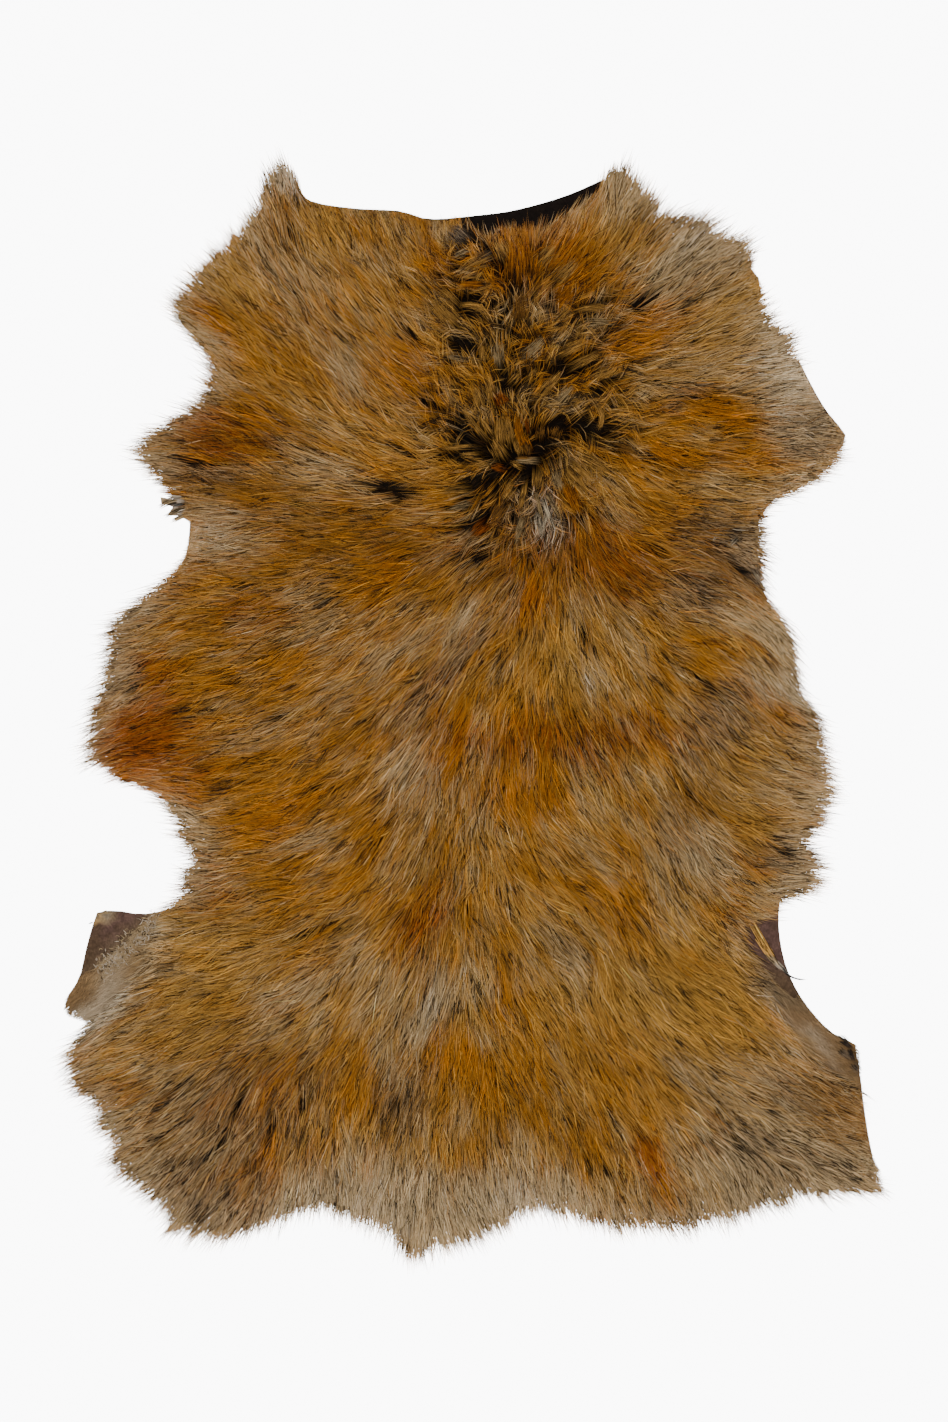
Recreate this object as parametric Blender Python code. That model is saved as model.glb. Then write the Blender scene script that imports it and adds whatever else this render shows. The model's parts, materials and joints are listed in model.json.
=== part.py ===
"""Hair-on sheepskin lying flat, hair side up, as two solids: the skin and the coat of hair on it.

The pattern tables are in millimetres on the cutting table, x to the right and y down from the
table's far left corner, with the neck at the top. World coordinates are in metres, +Y towards
the neck and +Z up. The origin is at the bottom centre of the whole skin.
"""

import math
import random
from collections import namedtuple

import bmesh
import bpy
import numpy as np
from mathutils.geometry import delaunay_2d_cdt, intersect_line_line_2d

MM = 0.001
SEED = 12

# Overall size: the farthest tips of the hair, in millimetres on the pattern
LEFT, RIGHT = 60.0, 884.0
NECK_END, TAIL_END = 160.0, 1262.0
CENTRE = ((LEFT + RIGHT) / 2, (NECK_END + TAIL_END) / 2)

# Skin and coat, in millimetres
SKIN_THICKNESS = 2.0
GAP = 0.35
COAT_DEPTH = 19.0
COAT_RIM = 4.0
COAT_BARE_RIM = 2.5
COAT_RISE = 42.0
CREST_DEPTH = 7.0
SHORT_HAIR = 3.0
RIM_FADE = 50.0
BARE_FADE = 38.0

# The underside of the coat steps down to the floor between these distances past the skin's edge
STEP_START = 0.5
STEP_END = 3.0

# Locks at the rim and tufts on the back, in millimetres
LOCK_PITCH = 12.5
LOCK_JITTER = 0.34
LOCK_LEAST_REACH = 5.0
LOCK_THICKNESS = 1.6
LOCK_RIDGE = 2.2
LOCK_BACK = 4.0
TUFT_SPACING = 35.0
TUFT_SHIFT = 8.0
TUFT_LENGTH = 64.0
TUFT_WIDTH = 22.0
TUFT_HEIGHT = 9.5
MESH_SPACING = 16.5
CURVE_STEPS = 12

# How far a lock's tip lies beyond the outline, and the notch between two locks inside it, as parts
# of the reach, and how far a tuft turns from the flow, in radians
TIP_SWING = (0.25, 0.62)
NOTCH_SWING = (-0.34, -0.08)
TUFT_TURN = 0.35
CREST_TURN = 2.2

# A tuft's outline along its length, as parts of it from its middle: where it starts to climb, how
# long it climbs, where it ends and how fast it drops
TUFT_START, TUFT_CLIMB = -0.6, 0.9
TUFT_END, TUFT_DROP = 0.55, 0.25

# Colours, as linear red, green and blue
LEATHER = (0.10, 0.062, 0.055, 1.0)
HAIR = (0.33, 0.17, 0.05, 1.0)

# The outline of the hair, clockwise from the left ear. reach is how far the hair lies past the
# skin's own edge, and 0 is where the skin's cut edge shows.
Edge = namedtuple("Edge", "x y reach")
LEFT_EAR = [
    Edge(257, 203, 8),
    Edge(264, 186, 12),
    Edge(273, 172, 16),
    Edge(285, 165, 20),
    Edge(296, 168, 14),
    Edge(299, 183, 6),
]
NECK = [
    Edge(302, 196, 0),
    Edge(322, 204, 0),
    Edge(362, 209, 0),
    Edge(400, 211, 0),
    Edge(430, 219, 0),
    Edge(480, 215, 0),
    Edge(515, 210, 0),
    Edge(562, 197, 0),
    Edge(597, 182, 0),
]
RIGHT_EAR = [
    Edge(605, 174, 6),
    Edge(614, 165, 12),
    Edge(624, 168, 18),
    Edge(632, 180, 14),
    Edge(646, 192, 14),
    Edge(657, 206, 16),
]
RIGHT_SHOULDER = [
    Edge(666, 217, 18),
    Edge(690, 222, 20),
    Edge(711, 222, 30),
    Edge(716, 236, 16),
    Edge(741, 242, 20),
    Edge(753, 254, 10),
    Edge(754, 273, 0),
    Edge(762, 282, 0),
    Edge(764, 302, 8),
    Edge(772, 323, 12),
    Edge(791, 343, 20),
    Edge(789, 352, 8),
    Edge(797, 357, 0),
    Edge(812, 386, 0),
    Edge(826, 410, 0),
    Edge(840, 427, 0),
    Edge(847, 440, 0),
    Edge(839, 456, 6),
    Edge(822, 472, 10),
    Edge(808, 486, 14),
    Edge(782, 498, 8),
    Edge(767, 514, 6),
]
RIGHT_SIDE = [
    Edge(763, 540, 10),
    Edge(763, 565, 6),
    Edge(767, 594, 6),
    Edge(778, 611, 10),
    Edge(790, 635, 16),
    Edge(795, 665, 14),
    Edge(799, 692, 14),
    Edge(815, 713, 24),
    Edge(821, 745, 26),
    Edge(827, 780, 28),
    Edge(825, 808, 28),
    Edge(808, 832, 16),
    Edge(804, 848, 14),
    Edge(816, 865, 26),
    Edge(814, 886, 26),
    Edge(786, 899, 8),
]
RIGHT_FLANK = [
    Edge(779, 916, 0),
    Edge(781, 945, 0),
    Edge(789, 974, 0),
    Edge(805, 1003, 0),
    Edge(830, 1031, 0),
    Edge(854, 1043, 0),
    Edge(860, 1056, 6),
    Edge(861, 1080, 0),
    Edge(866, 1120, 0),
    Edge(872, 1152, 0),
]
TAIL = [
    Edge(880, 1172, 6),
    Edge(880, 1190, 8),
    Edge(850, 1191, 10),
    Edge(818, 1192, 12),
    Edge(798, 1190, 12),
    Edge(790, 1201, 16),
    Edge(760, 1204, 18),
    Edge(735, 1213, 20),
    Edge(700, 1219, 22),
    Edge(660, 1224, 22),
    Edge(610, 1223, 22),
    Edge(580, 1214, 18),
    Edge(552, 1207, 14),
    Edge(525, 1209, 16),
    Edge(500, 1221, 20),
    Edge(475, 1234, 22),
    Edge(455, 1241, 22),
    Edge(430, 1247, 24),
    Edge(414, 1257, 26),
    Edge(402, 1248, 24),
    Edge(394, 1230, 20),
    Edge(365, 1218, 16),
    Edge(335, 1207, 12),
    Edge(305, 1206, 12),
    Edge(275, 1219, 16),
    Edge(235, 1233, 20),
    Edge(200, 1234, 24),
    Edge(172, 1224, 22),
]
LEFT_HIP = [
    Edge(161, 1199, 16),
    Edge(136, 1181, 22),
    Edge(116, 1160, 22),
    Edge(116, 1139, 16),
    Edge(100, 1121, 24),
    Edge(98, 1103, 18),
    Edge(80, 1088, 20),
    Edge(74, 1068, 20),
    Edge(69, 1053, 24),
    Edge(84, 1035, 16),
    Edge(86, 1023, 10),
]
LEFT_FLANK = [
    Edge(67, 1015, 6),
    Edge(65, 1001, 0),
    Edge(79, 978, 0),
    Edge(86, 949, 0),
    Edge(93, 924, 0),
    Edge(98, 912, 0),
    Edge(120, 911, 0),
    Edge(142, 914, 0),
    Edge(168, 909, 0),
]
LEFT_SIDE = [
    Edge(186, 899, 14),
    Edge(184, 880, 18),
    Edge(198, 858, 14),
    Edge(185, 837, 18),
    Edge(178, 818, 22),
    Edge(163, 800, 18),
    Edge(142, 784, 12),
    Edge(118, 778, 0),
    Edge(104, 768, 12),
    Edge(92, 757, 24),
    Edge(92, 733, 26),
    Edge(98, 705, 24),
    Edge(107, 678, 22),
    Edge(113, 650, 22),
    Edge(112, 627, 26),
    Edge(136, 607, 16),
    Edge(160, 586, 8),
    Edge(180, 562, 6),
    Edge(188, 538, 0),
]
# The dried shreds of the left foreleg stick out at the start of this stretch
LEFT_SHOULDER = [
    Edge(190, 522, 0),
    Edge(176, 515, 0),
    Edge(166, 515, 0),
    Edge(173, 507, 0),
    Edge(158, 502, 0),
    Edge(158, 497, 0),
    Edge(176, 499, 0),
    Edge(178, 492, 10),
    Edge(158, 476, 24),
    Edge(146, 457, 30),
    Edge(146, 439, 30),
    Edge(172, 422, 22),
    Edge(200, 404, 14),
    Edge(208, 383, 14),
    Edge(212, 364, 10),
    Edge(202, 348, 8),
    Edge(184, 327, 10),
    Edge(176, 310, 10),
    Edge(184, 294, 10),
    Edge(205, 266, 10),
    Edge(232, 239, 8),
    Edge(246, 221, 8),
]
OUTLINE = (
    LEFT_EAR
    + NECK
    + RIGHT_EAR
    + RIGHT_SHOULDER
    + RIGHT_SIDE
    + RIGHT_FLANK
    + TAIL
    + LEFT_HIP
    + LEFT_FLANK
    + LEFT_SIDE
    + LEFT_SHOULDER
)

# Skin with no coat on it, as closed outlines that run a little past the skin's edge
Point = namedtuple("Point", "x y")
BARE_NECK = [
    Point(452, 210),
    Point(476, 224),
    Point(496, 226),
    Point(522, 221),
    Point(548, 219),
    Point(568, 208),
    Point(588, 199),
    Point(603, 186),
    Point(598, 172),
    Point(520, 196),
]
BARE_LEFT_FLANK = [
    Point(80, 905),
    Point(150, 900),
    Point(158, 913),
    Point(141, 924),
    Point(124, 943),
    Point(108, 956),
    Point(94, 968),
    Point(76, 972),
]
BARE_RIGHT_FLANK = [
    Point(786, 912),
    Point(770, 916),
    Point(752, 930),
    Point(756, 950),
    Point(768, 968),
    Point(778, 984),
    Point(793, 998),
    Point(800, 990),
    Point(796, 960),
]
BARE_SHREDS = [
    Point(150, 490),
    Point(182, 496),
    Point(183, 509),
    Point(178, 522),
    Point(150, 524),
]
BARE_PATCHES = [BARE_NECK, BARE_LEFT_FLANK, BARE_RIGHT_FLANK, BARE_SHREDS]

# Which way the hair's tips point: 0 is to the right and 90 towards the neck
Flow = namedtuple("Flow", "x y degrees")
FLOW_TABLE = [
    Flow(284, 185, 102),
    Flow(390, 225, 115),
    Flow(500, 232, 92),
    Flow(617, 178, 76),
    Flow(250, 240, 125),
    Flow(320, 280, 124),
    Flow(430, 300, 138),
    Flow(560, 280, 50),
    Flow(650, 240, 52),
    Flow(735, 250, 31),
    Flow(190, 310, 150),
    Flow(260, 350, 138),
    Flow(480, 340, 120),
    Flow(520, 350, 66),
    Flow(620, 330, 20),
    Flow(700, 310, 24),
    Flow(790, 345, 22),
    Flow(210, 385, 156),
    Flow(350, 400, 135),
    Flow(480, 420, 135),
    Flow(545, 400, 32),
    Flow(640, 410, -14),
    Flow(760, 410, 2),
    Flow(840, 430, 0),
    Flow(150, 450, 178),
    Flow(300, 450, 163),
    Flow(450, 470, 180),
    Flow(620, 470, -32),
    Flow(720, 470, -6),
    Flow(805, 482, 2),
    Flow(220, 520, 180),
    Flow(400, 540, 186),
    Flow(510, 510, -115),
    Flow(560, 500, -72),
    Flow(660, 550, -14),
    Flow(755, 570, -30),
    Flow(150, 600, 190),
    Flow(300, 620, 198),
    Flow(440, 620, 232),
    Flow(545, 620, -88),
    Flow(630, 640, -50),
    Flow(720, 640, -24),
    Flow(790, 660, -50),
    Flow(100, 730, 203),
    Flow(200, 720, 195),
    Flow(350, 720, 218),
    Flow(500, 740, -98),
    Flow(650, 740, -62),
    Flow(730, 720, -44),
    Flow(815, 760, -14),
    Flow(165, 800, 165),
    Flow(250, 840, 188),
    Flow(400, 850, 238),
    Flow(500, 850, -72),
    Flow(590, 880, -36),
    Flow(690, 860, -60),
    Flow(800, 860, -2),
    Flow(180, 930, 188),
    Flow(300, 960, 206),
    Flow(440, 960, -97),
    Flow(560, 980, -55),
    Flow(690, 960, -34),
    Flow(780, 960, -42),
    Flow(70, 1010, 225),
    Flow(80, 1060, 205),
    Flow(200, 1060, 202),
    Flow(340, 1080, 242),
    Flow(460, 1080, -90),
    Flow(590, 1080, -58),
    Flow(700, 1060, -36),
    Flow(820, 1060, -34),
    Flow(120, 1140, 206),
    Flow(220, 1150, 238),
    Flow(320, 1170, 268),
    Flow(500, 1170, -78),
    Flow(640, 1170, -64),
    Flow(760, 1130, -34),
    Flow(850, 1160, -22),
    Flow(180, 1215, 230),
    Flow(412, 1240, 258),
    Flow(460, 1232, -68),
    Flow(600, 1210, -72),
    Flow(740, 1200, -70),
    Flow(794, 1196, -62),
]
FLOW_BLUR = 22.0

# The tousled crest along the back, where the coat is deeper, and the places with short hair
Spot = namedtuple("Spot", "x y radius")
CREST = [
    Spot(480, 290, 45),
    Spot(510, 350, 55),
    Spot(505, 420, 60),
    Spot(560, 410, 45),
    Spot(530, 490, 45),
]
SHORT_PLACES = [
    Spot(118, 962, 42),
    Spot(92, 985, 30),
    Spot(800, 1008, 24),
    Spot(826, 1036, 26),
    Spot(848, 1052, 22),
    Spot(186, 512, 20),
    Spot(730, 538, 16),
    Spot(190, 325, 22),
    Spot(812, 400, 26),
]

# The lengths below which two points count as one: in a plan, in a comparison and in a weld
TINY = 1e-4
SAME_PLACE = 1e-3
WELD = 0.05


def clear_scene():
    for ob in list(bpy.data.objects):
        bpy.data.objects.remove(ob, do_unlink=True)


def flow_at(points):
    """Unit vectors along the hair at pattern points, with y down as on the pattern."""
    guides = np.array([(g.x, g.y) for g in FLOW_TABLE])
    angles = np.radians([g.degrees for g in FLOW_TABLE])
    ways = np.stack([np.cos(angles), -np.sin(angles)], 1)
    gaps = np.linalg.norm(points[:, None] - guides[None], axis=2)
    weights = 1 / (gaps**2 + FLOW_BLUR**2) ** 1.5
    mixed = weights @ ways
    return mixed / np.linalg.norm(mixed, axis=1)[:, None]


def smooth_step(values):
    held = np.clip(values, 0, 1)
    return held * held * (3 - 2 * held)


def curve_through(rows, spacing, draw=None):
    """Points along a closed Catmull-Rom curve through rows, evenly apart or shifted by draw."""
    knots = np.array(rows, float)
    before, after = np.roll(knots, 1, 0), np.roll(knots, -1, 0)
    beyond = np.roll(knots, -2, 0)
    steps = np.linspace(0, 1, CURVE_STEPS, endpoint=False)[None, :, None]
    a, b, c, d = (k[:, None, :] for k in (before, knots, after, beyond))
    fine = 0.5 * (
        2 * b
        + (c - a) * steps
        + (2 * a - 5 * b + 4 * c - d) * steps**2
        + (3 * b - a - 3 * c + d) * steps**3
    )
    fine = fine.reshape(-1, knots.shape[1])
    closed = np.vstack([fine, fine[:1]])
    lengths = np.linalg.norm(np.diff(closed[:, :2], axis=0), axis=1)
    along = np.concatenate([[0], np.cumsum(lengths)])
    count = 2 * round(along[-1] / spacing / 2)
    at = np.arange(count, dtype=float)
    if draw:
        at[1:] += [draw.uniform(-LOCK_JITTER, LOCK_JITTER) for _ in range(count - 1)]
    at *= along[-1] / count
    return np.stack([np.interp(at, along, column) for column in closed.T], 1)


def inside(points, polygon):
    """Which points lie inside a closed polygon."""
    x, y = np.asarray(points).T
    found = np.zeros(len(x), bool)
    for (x0, y0), (x1, y1) in zip(polygon, np.roll(polygon, -1, 0)):
        crosses = (y0 > y) != (y1 > y)
        if crosses.any():
            where = x0 + (y[crosses] - y0) * (x1 - x0) / (y1 - y0)
            found[crosses] ^= x[crosses] < where
    return found


def distance_to(points, polygon):
    """How far each point lies from a closed polygon's outline."""
    best = np.full(len(points), np.inf)
    for start, end in zip(polygon, np.roll(polygon, -1, 0)):
        side = end - start
        along = np.clip((points - start) @ side / max(side @ side, TINY), 0, 1)
        best = np.minimum(best, np.linalg.norm(points - start - along[:, None] * side, axis=1))
    return best


def crossings(polygon):
    """The numbers of the sides of a closed polygon that cross another side."""
    count = len(polygon)
    ends = [tuple(p) for p in polygon]
    low = np.minimum(polygon, np.roll(polygon, -1, 0))
    high = np.maximum(polygon, np.roll(polygon, -1, 0))
    found = set()
    for i in range(count):
        near = (low <= high[i]).all(1) & (high >= low[i]).all(1)
        for j in np.flatnonzero(near):
            if j <= i + 1 or (i == 0 and j == count - 1):
                continue
            if intersect_line_line_2d(ends[i], ends[i + 1], ends[j], ends[(j + 1) % count]):
                found |= {i, int(j)}
    return found


def coat_outline(draw):
    """The hair's outline with a pointed lock every few millimetres, and each lock's ridge."""
    fine = curve_through(OUTLINE, LOCK_PITCH / 2, draw)
    places, reach = fine[:, :2], fine[:, 2]
    ways = flow_at(places)
    tips = np.arange(len(places)) % 2 == 1
    swing = np.array([draw.uniform(*(TIP_SWING if tip else NOTCH_SWING)) for tip in tips])
    swing[reach < LOCK_LEAST_REACH] = 0
    outline = places + ways * (swing * reach)[:, None]
    outline = np.clip(outline, (LEFT, NECK_END), (RIGHT, TAIL_END))
    for _ in range(20):
        crossed = crossings(outline)
        if not crossed:
            break
        for side in crossed:
            for i in (side, (side + 1) % len(outline)):
                outline[i] = 0.5 * (outline[i] + places[i])
    outline = to_full_size(outline)
    locks = tips & (reach >= LOCK_LEAST_REACH)
    ridges = outline[locks] - ways[locks] * (0.45 * reach[locks] + LOCK_BACK)[:, None]
    return outline, outline[locks], ridges


def to_full_size(outline):
    """Moves the farthest tip on each side out to the overall size."""
    for axis, low, high in ((0, LEFT, RIGHT), (1, NECK_END, TAIL_END)):
        outline[np.argmin(outline[:, axis]), axis] = low
        outline[np.argmax(outline[:, axis]), axis] = high
    return outline


def skin_outline():
    """The skin's own edge, which the hair hides except where its reach is 0."""
    fine = curve_through(OUTLINE, LOCK_PITCH)
    places, reach = fine[:, :2], np.maximum(fine[:, 2], 0)
    edge = places - flow_at(places) * reach[:, None]
    hidden = reach > LOCK_LEAST_REACH
    for _ in range(3):
        mean = (np.roll(edge, 1, 0) + np.roll(edge, -1, 0)) / 2
        edge[hidden] = (edge[hidden] + mean[hidden]) / 2
    return edge


def grown(polygon, distance):
    """A closed polygon with its corners moved outwards by a small distance."""
    sides = np.roll(polygon, -1, 0) - polygon
    sides /= np.linalg.norm(sides, axis=1)[:, None]
    normals = np.stack([sides[:, 1], -sides[:, 0]], 1)
    corner = normals + np.roll(normals, 1, 0)
    mitre = np.maximum((corner * normals).sum(1), 0.5)
    return polygon + corner * (distance / mitre)[:, None]


def loops_as_input(loops):
    """The corners and sides of closed loops, as one list of each."""
    points, sides = [], []
    for loop in loops:
        first = len(points)
        points += [tuple(p) for p in loop]
        count = len(loop)
        sides += [(first + i, first + (i + 1) % count) for i in range(count)]
    return points, sides


def mesh_points(outline):
    """Points on an even triangular grid inside the outline and clear of its sides."""
    rise = MESH_SPACING * math.sqrt(3) / 2
    rows = np.arange(NECK_END, TAIL_END, rise)
    columns = np.arange(LEFT, RIGHT, MESH_SPACING)
    grid = [(x + MESH_SPACING / 2 * (i % 2), y) for i, y in enumerate(rows) for x in columns]
    grid = np.array(grid)
    grid = grid[inside(grid, outline)]
    return grid[distance_to(grid, outline) > MESH_SPACING * 0.4]


def on_coat(points, outline):
    kept = inside(points, outline)
    for patch in BARE_PATCHES:
        kept &= ~inside(points, np.array(patch, float))
    return kept


def tuft_table(draw, outline):
    """Tufts scattered over the coat: place, direction and height for each."""
    low, high = outline.min(0), outline.max(0)
    rise = TUFT_SPACING * math.sqrt(3) / 2
    places = []
    for i, y in enumerate(np.arange(low[1], high[1], rise)):
        for x in np.arange(low[0], high[0], TUFT_SPACING):
            shift = TUFT_SPACING / 2 * (i % 2)
            stray_x = draw.uniform(-TUFT_SHIFT, TUFT_SHIFT)
            stray_y = draw.uniform(-TUFT_SHIFT, TUFT_SHIFT)
            places.append((x + shift + stray_x, y + stray_y))
    places = np.array(places)
    places = places[on_coat(places, outline)]
    ways = flow_at(places)
    tousled = near_spots(places, CREST)
    turns = np.array([draw.uniform(-TUFT_TURN, TUFT_TURN) for _ in places])
    turns *= 1 + CREST_TURN * tousled
    ways = np.stack(
        [
            ways[:, 0] * np.cos(turns) - ways[:, 1] * np.sin(turns),
            ways[:, 0] * np.sin(turns) + ways[:, 1] * np.cos(turns),
        ],
        1,
    )
    heights = np.array([draw.uniform(0.35, 1.0) for _ in places]) * TUFT_HEIGHT
    return places, ways, heights * (1 + 0.6 * tousled)


def near_spots(points, spots):
    """From 0 away from round spots to 1 at their middles."""
    near = np.zeros(len(points))
    for spot in spots:
        gaps = np.hypot(points[:, 0] - spot.x, points[:, 1] - spot.y)
        near = np.maximum(near, smooth_step(1.5 - gaps / spot.radius))
    return near


def tuft_relief(points, tufts):
    """How far the tufts lift each point. A tuft climbs slowly to its tip and drops off past it."""
    relief = np.zeros(len(points))
    for place, way, height in zip(*tufts):
        gap = points - place
        along = gap @ way / TUFT_LENGTH
        across = (gap[:, 0] * way[1] - gap[:, 1] * way[0]) / TUFT_WIDTH
        climb = np.clip((along - TUFT_START) / TUFT_CLIMB, 0, 1)
        drop = np.clip((TUFT_END - along) / TUFT_DROP, 0, 1)
        crown = np.clip(1 - across**2, 0, 1)
        relief = np.maximum(relief, height * np.minimum(climb, drop) * crown)
    return relief


def nearest(points, others):
    """How far each point lies from the nearest of the others."""
    return np.linalg.norm(points[:, None] - others[None], axis=2).min(1)


def coat_top(points, outline, tufts, ridges, tips, floor):
    """Height of the coat's upper face above the floor."""
    to_rim = distance_to(points, outline)
    depth = COAT_RIM + (COAT_DEPTH - COAT_RIM) * (1 - np.exp(-to_rim / COAT_RISE))
    depth += CREST_DEPTH * near_spots(points, CREST)
    depth += tuft_relief(points, tufts) * smooth_step(to_rim / RIM_FADE)
    for patch in BARE_PATCHES:
        to_bare = distance_to(points, np.array(patch, float))
        depth = COAT_BARE_RIM + (depth - COAT_BARE_RIM) * smooth_step(to_bare / BARE_FADE + 0.02)
    short = near_spots(points, SHORT_PLACES)
    depth = depth * (1 - short) + SHORT_HAIR * short
    top = floor + depth
    at_tip = nearest(points, tips) < SAME_PLACE
    top[at_tip] = floor[at_tip] + LOCK_THICKNESS
    top[nearest(points, ridges) < SAME_PLACE] += LOCK_RIDGE
    return top


def coat_underside(points, skin):
    """Height of the coat's lower face: on the skin, and on the floor past the skin's edge."""
    away = distance_to(points, skin)
    away[inside(points, skin)] *= -1
    stepped = np.clip((away - STEP_START) / (STEP_END - STEP_START), 0, 1)
    return (SKIN_THICKNESS + GAP) * (1 - stepped)


def to_world(points, heights):
    x = (points[:, 0] - CENTRE[0]) * MM
    y = (CENTRE[1] - points[:, 1]) * MM
    return np.stack([x, y, np.asarray(heights) * MM], 1)


def triangulated(points, sides):
    """Corners, the given sides as split by crossings, and triangles between them."""
    corners, edges, faces, _, from_edges, _ = delaunay_2d_cdt(points, sides, [], 0, TINY)
    fixed = [edge for edge, source in zip(edges, from_edges) if source]
    return np.array([tuple(c) for c in corners]), fixed, np.array(faces)


def coat_mesh(outline, skin, tips, ridges, draw):
    """The coat's vertices and faces: a tufted top, a plain underside and a wall round each rim."""
    loops = [outline, grown(skin, STEP_START), grown(skin, STEP_END)]
    loops += [np.array(patch, float) for patch in BARE_PATCHES]
    points, sides = loops_as_input(loops)
    free = np.vstack([mesh_points(outline), ridges])
    corners, fixed, faces = triangulated(points + [tuple(p) for p in free], sides)
    faces = faces[on_coat(corners[faces].mean(1), outline)]

    floor = coat_underside(corners, skin)
    tufts = tuft_table(draw, outline)
    top = coat_top(corners, outline, tufts, ridges, tips, floor)

    used = set(faces.ravel().tolist())
    fixed = [(a, b) for a, b in fixed if a in used and b in used]
    under_ids = sorted({i for side in fixed for i in side})
    slot = {old: new for new, old in enumerate(under_ids)}
    under_sides = [(slot[a], slot[b]) for a, b in fixed]
    under, _, under_faces = triangulated([tuple(corners[i]) for i in under_ids], under_sides)
    under_faces = under_faces[on_coat(under[under_faces].mean(1), outline)]

    verts = np.vstack([to_world(corners, top), to_world(under, coat_underside(under, skin))])
    polygons = [tuple(f) for f in faces]
    polygons += [tuple(len(corners) + f[::-1]) for f in under_faces]
    back = {tuple(np.round(p, 4)): len(corners) + i for i, p in enumerate(under)}
    directed = {(f[i], f[(i + 1) % 3]) for f in faces.tolist() for i in range(3)}
    for a, b in directed:
        if (b, a) not in directed:
            below_a = back[tuple(np.round(corners[a], 4))]
            below_b = back[tuple(np.round(corners[b], 4))]
            polygons.append((b, a, below_a, below_b))
    return verts, polygons


def material(name, colour, roughness):
    made = bpy.data.materials.new(name)
    made.use_nodes = True
    shader = made.node_tree.nodes["Principled BSDF"]
    shader.inputs["Base Color"].default_value = colour
    shader.inputs["Roughness"].default_value = roughness
    shader.inputs["Metallic"].default_value = 0.0
    return made


def new_object(name, mesh, look):
    ob = bpy.data.objects.new(name, mesh)
    mesh.materials.append(look)
    bpy.context.scene.collection.objects.link(ob)
    return ob


def make_coat(skin):
    draw = random.Random(SEED)
    outline, tips, ridges = coat_outline(draw)
    verts, polygons = coat_mesh(outline, skin, tips, ridges, draw)
    mesh = bpy.data.meshes.new("fleece")
    mesh.from_pydata(verts.tolist(), [], polygons)
    tidy = bmesh.new()
    tidy.from_mesh(mesh)
    loose = [v for v in tidy.verts if not v.link_faces]
    bmesh.ops.delete(tidy, geom=loose, context="VERTS")
    bmesh.ops.remove_doubles(tidy, verts=tidy.verts, dist=WELD * MM)
    bmesh.ops.recalc_face_normals(tidy, faces=tidy.faces)
    bmesh.ops.triangulate(tidy, faces=tidy.faces)
    tidy.to_mesh(mesh)
    tidy.free()
    mesh.shade_smooth()
    return new_object("fleece", mesh, material("hair", HAIR, 0.75))


def make_skin(skin):
    mesh = bpy.data.meshes.new("hide")
    shape = bmesh.new()
    ring = [shape.verts.new(p) for p in to_world(skin, np.zeros(len(skin)))]
    base = shape.faces.new(ring)
    grown_up = bmesh.ops.extrude_face_region(shape, geom=[base])["geom"]
    lifted = [v for v in grown_up if isinstance(v, bmesh.types.BMVert)]
    bmesh.ops.translate(shape, verts=lifted, vec=(0, 0, SKIN_THICKNESS * MM))
    bmesh.ops.recalc_face_normals(shape, faces=shape.faces)
    bmesh.ops.triangulate(shape, faces=shape.faces)
    shape.to_mesh(mesh)
    shape.free()
    return new_object("hide", mesh, material("leather", LEATHER, 0.6))


def main():
    clear_scene()
    skin = skin_outline()
    make_skin(skin)
    make_coat(skin)


main()
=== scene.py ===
"""A hair-on sheepskin lying flat, hair side up: its leather, its undercoat with painted shade and its
long hair.

The pattern tables are in millimetres, x to the right and y down, with the neck at the top.
"""

import json
import math
from collections import namedtuple

import bmesh
import bpy
import numpy as np
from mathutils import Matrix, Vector
from mathutils.bvhtree import BVHTree
from mathutils.geometry import delaunay_2d_cdt
from mathutils.kdtree import KDTree

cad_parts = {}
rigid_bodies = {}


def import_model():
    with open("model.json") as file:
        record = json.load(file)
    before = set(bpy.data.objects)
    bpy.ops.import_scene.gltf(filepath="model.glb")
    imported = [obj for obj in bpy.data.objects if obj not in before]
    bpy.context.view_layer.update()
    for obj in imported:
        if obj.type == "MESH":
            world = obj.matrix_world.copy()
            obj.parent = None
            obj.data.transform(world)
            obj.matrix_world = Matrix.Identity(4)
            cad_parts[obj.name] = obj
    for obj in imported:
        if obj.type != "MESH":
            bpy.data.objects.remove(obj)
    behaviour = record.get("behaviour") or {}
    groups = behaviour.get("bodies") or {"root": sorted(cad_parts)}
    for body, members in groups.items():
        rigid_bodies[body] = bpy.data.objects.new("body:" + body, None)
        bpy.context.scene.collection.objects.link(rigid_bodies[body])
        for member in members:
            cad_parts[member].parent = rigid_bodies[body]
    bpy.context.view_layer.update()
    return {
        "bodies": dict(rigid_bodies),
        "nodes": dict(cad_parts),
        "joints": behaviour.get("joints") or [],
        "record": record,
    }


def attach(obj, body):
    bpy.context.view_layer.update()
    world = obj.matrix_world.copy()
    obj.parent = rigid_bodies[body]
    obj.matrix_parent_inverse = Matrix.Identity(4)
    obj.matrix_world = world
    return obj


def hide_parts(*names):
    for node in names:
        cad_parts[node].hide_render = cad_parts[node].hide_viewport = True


MM = 0.001
SEED = 5
CENTRE = (472.0, 711.0)


def rows(kind, *values):
    """The rows of a table with named columns."""
    return [kind(*value) for value in values]


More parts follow.
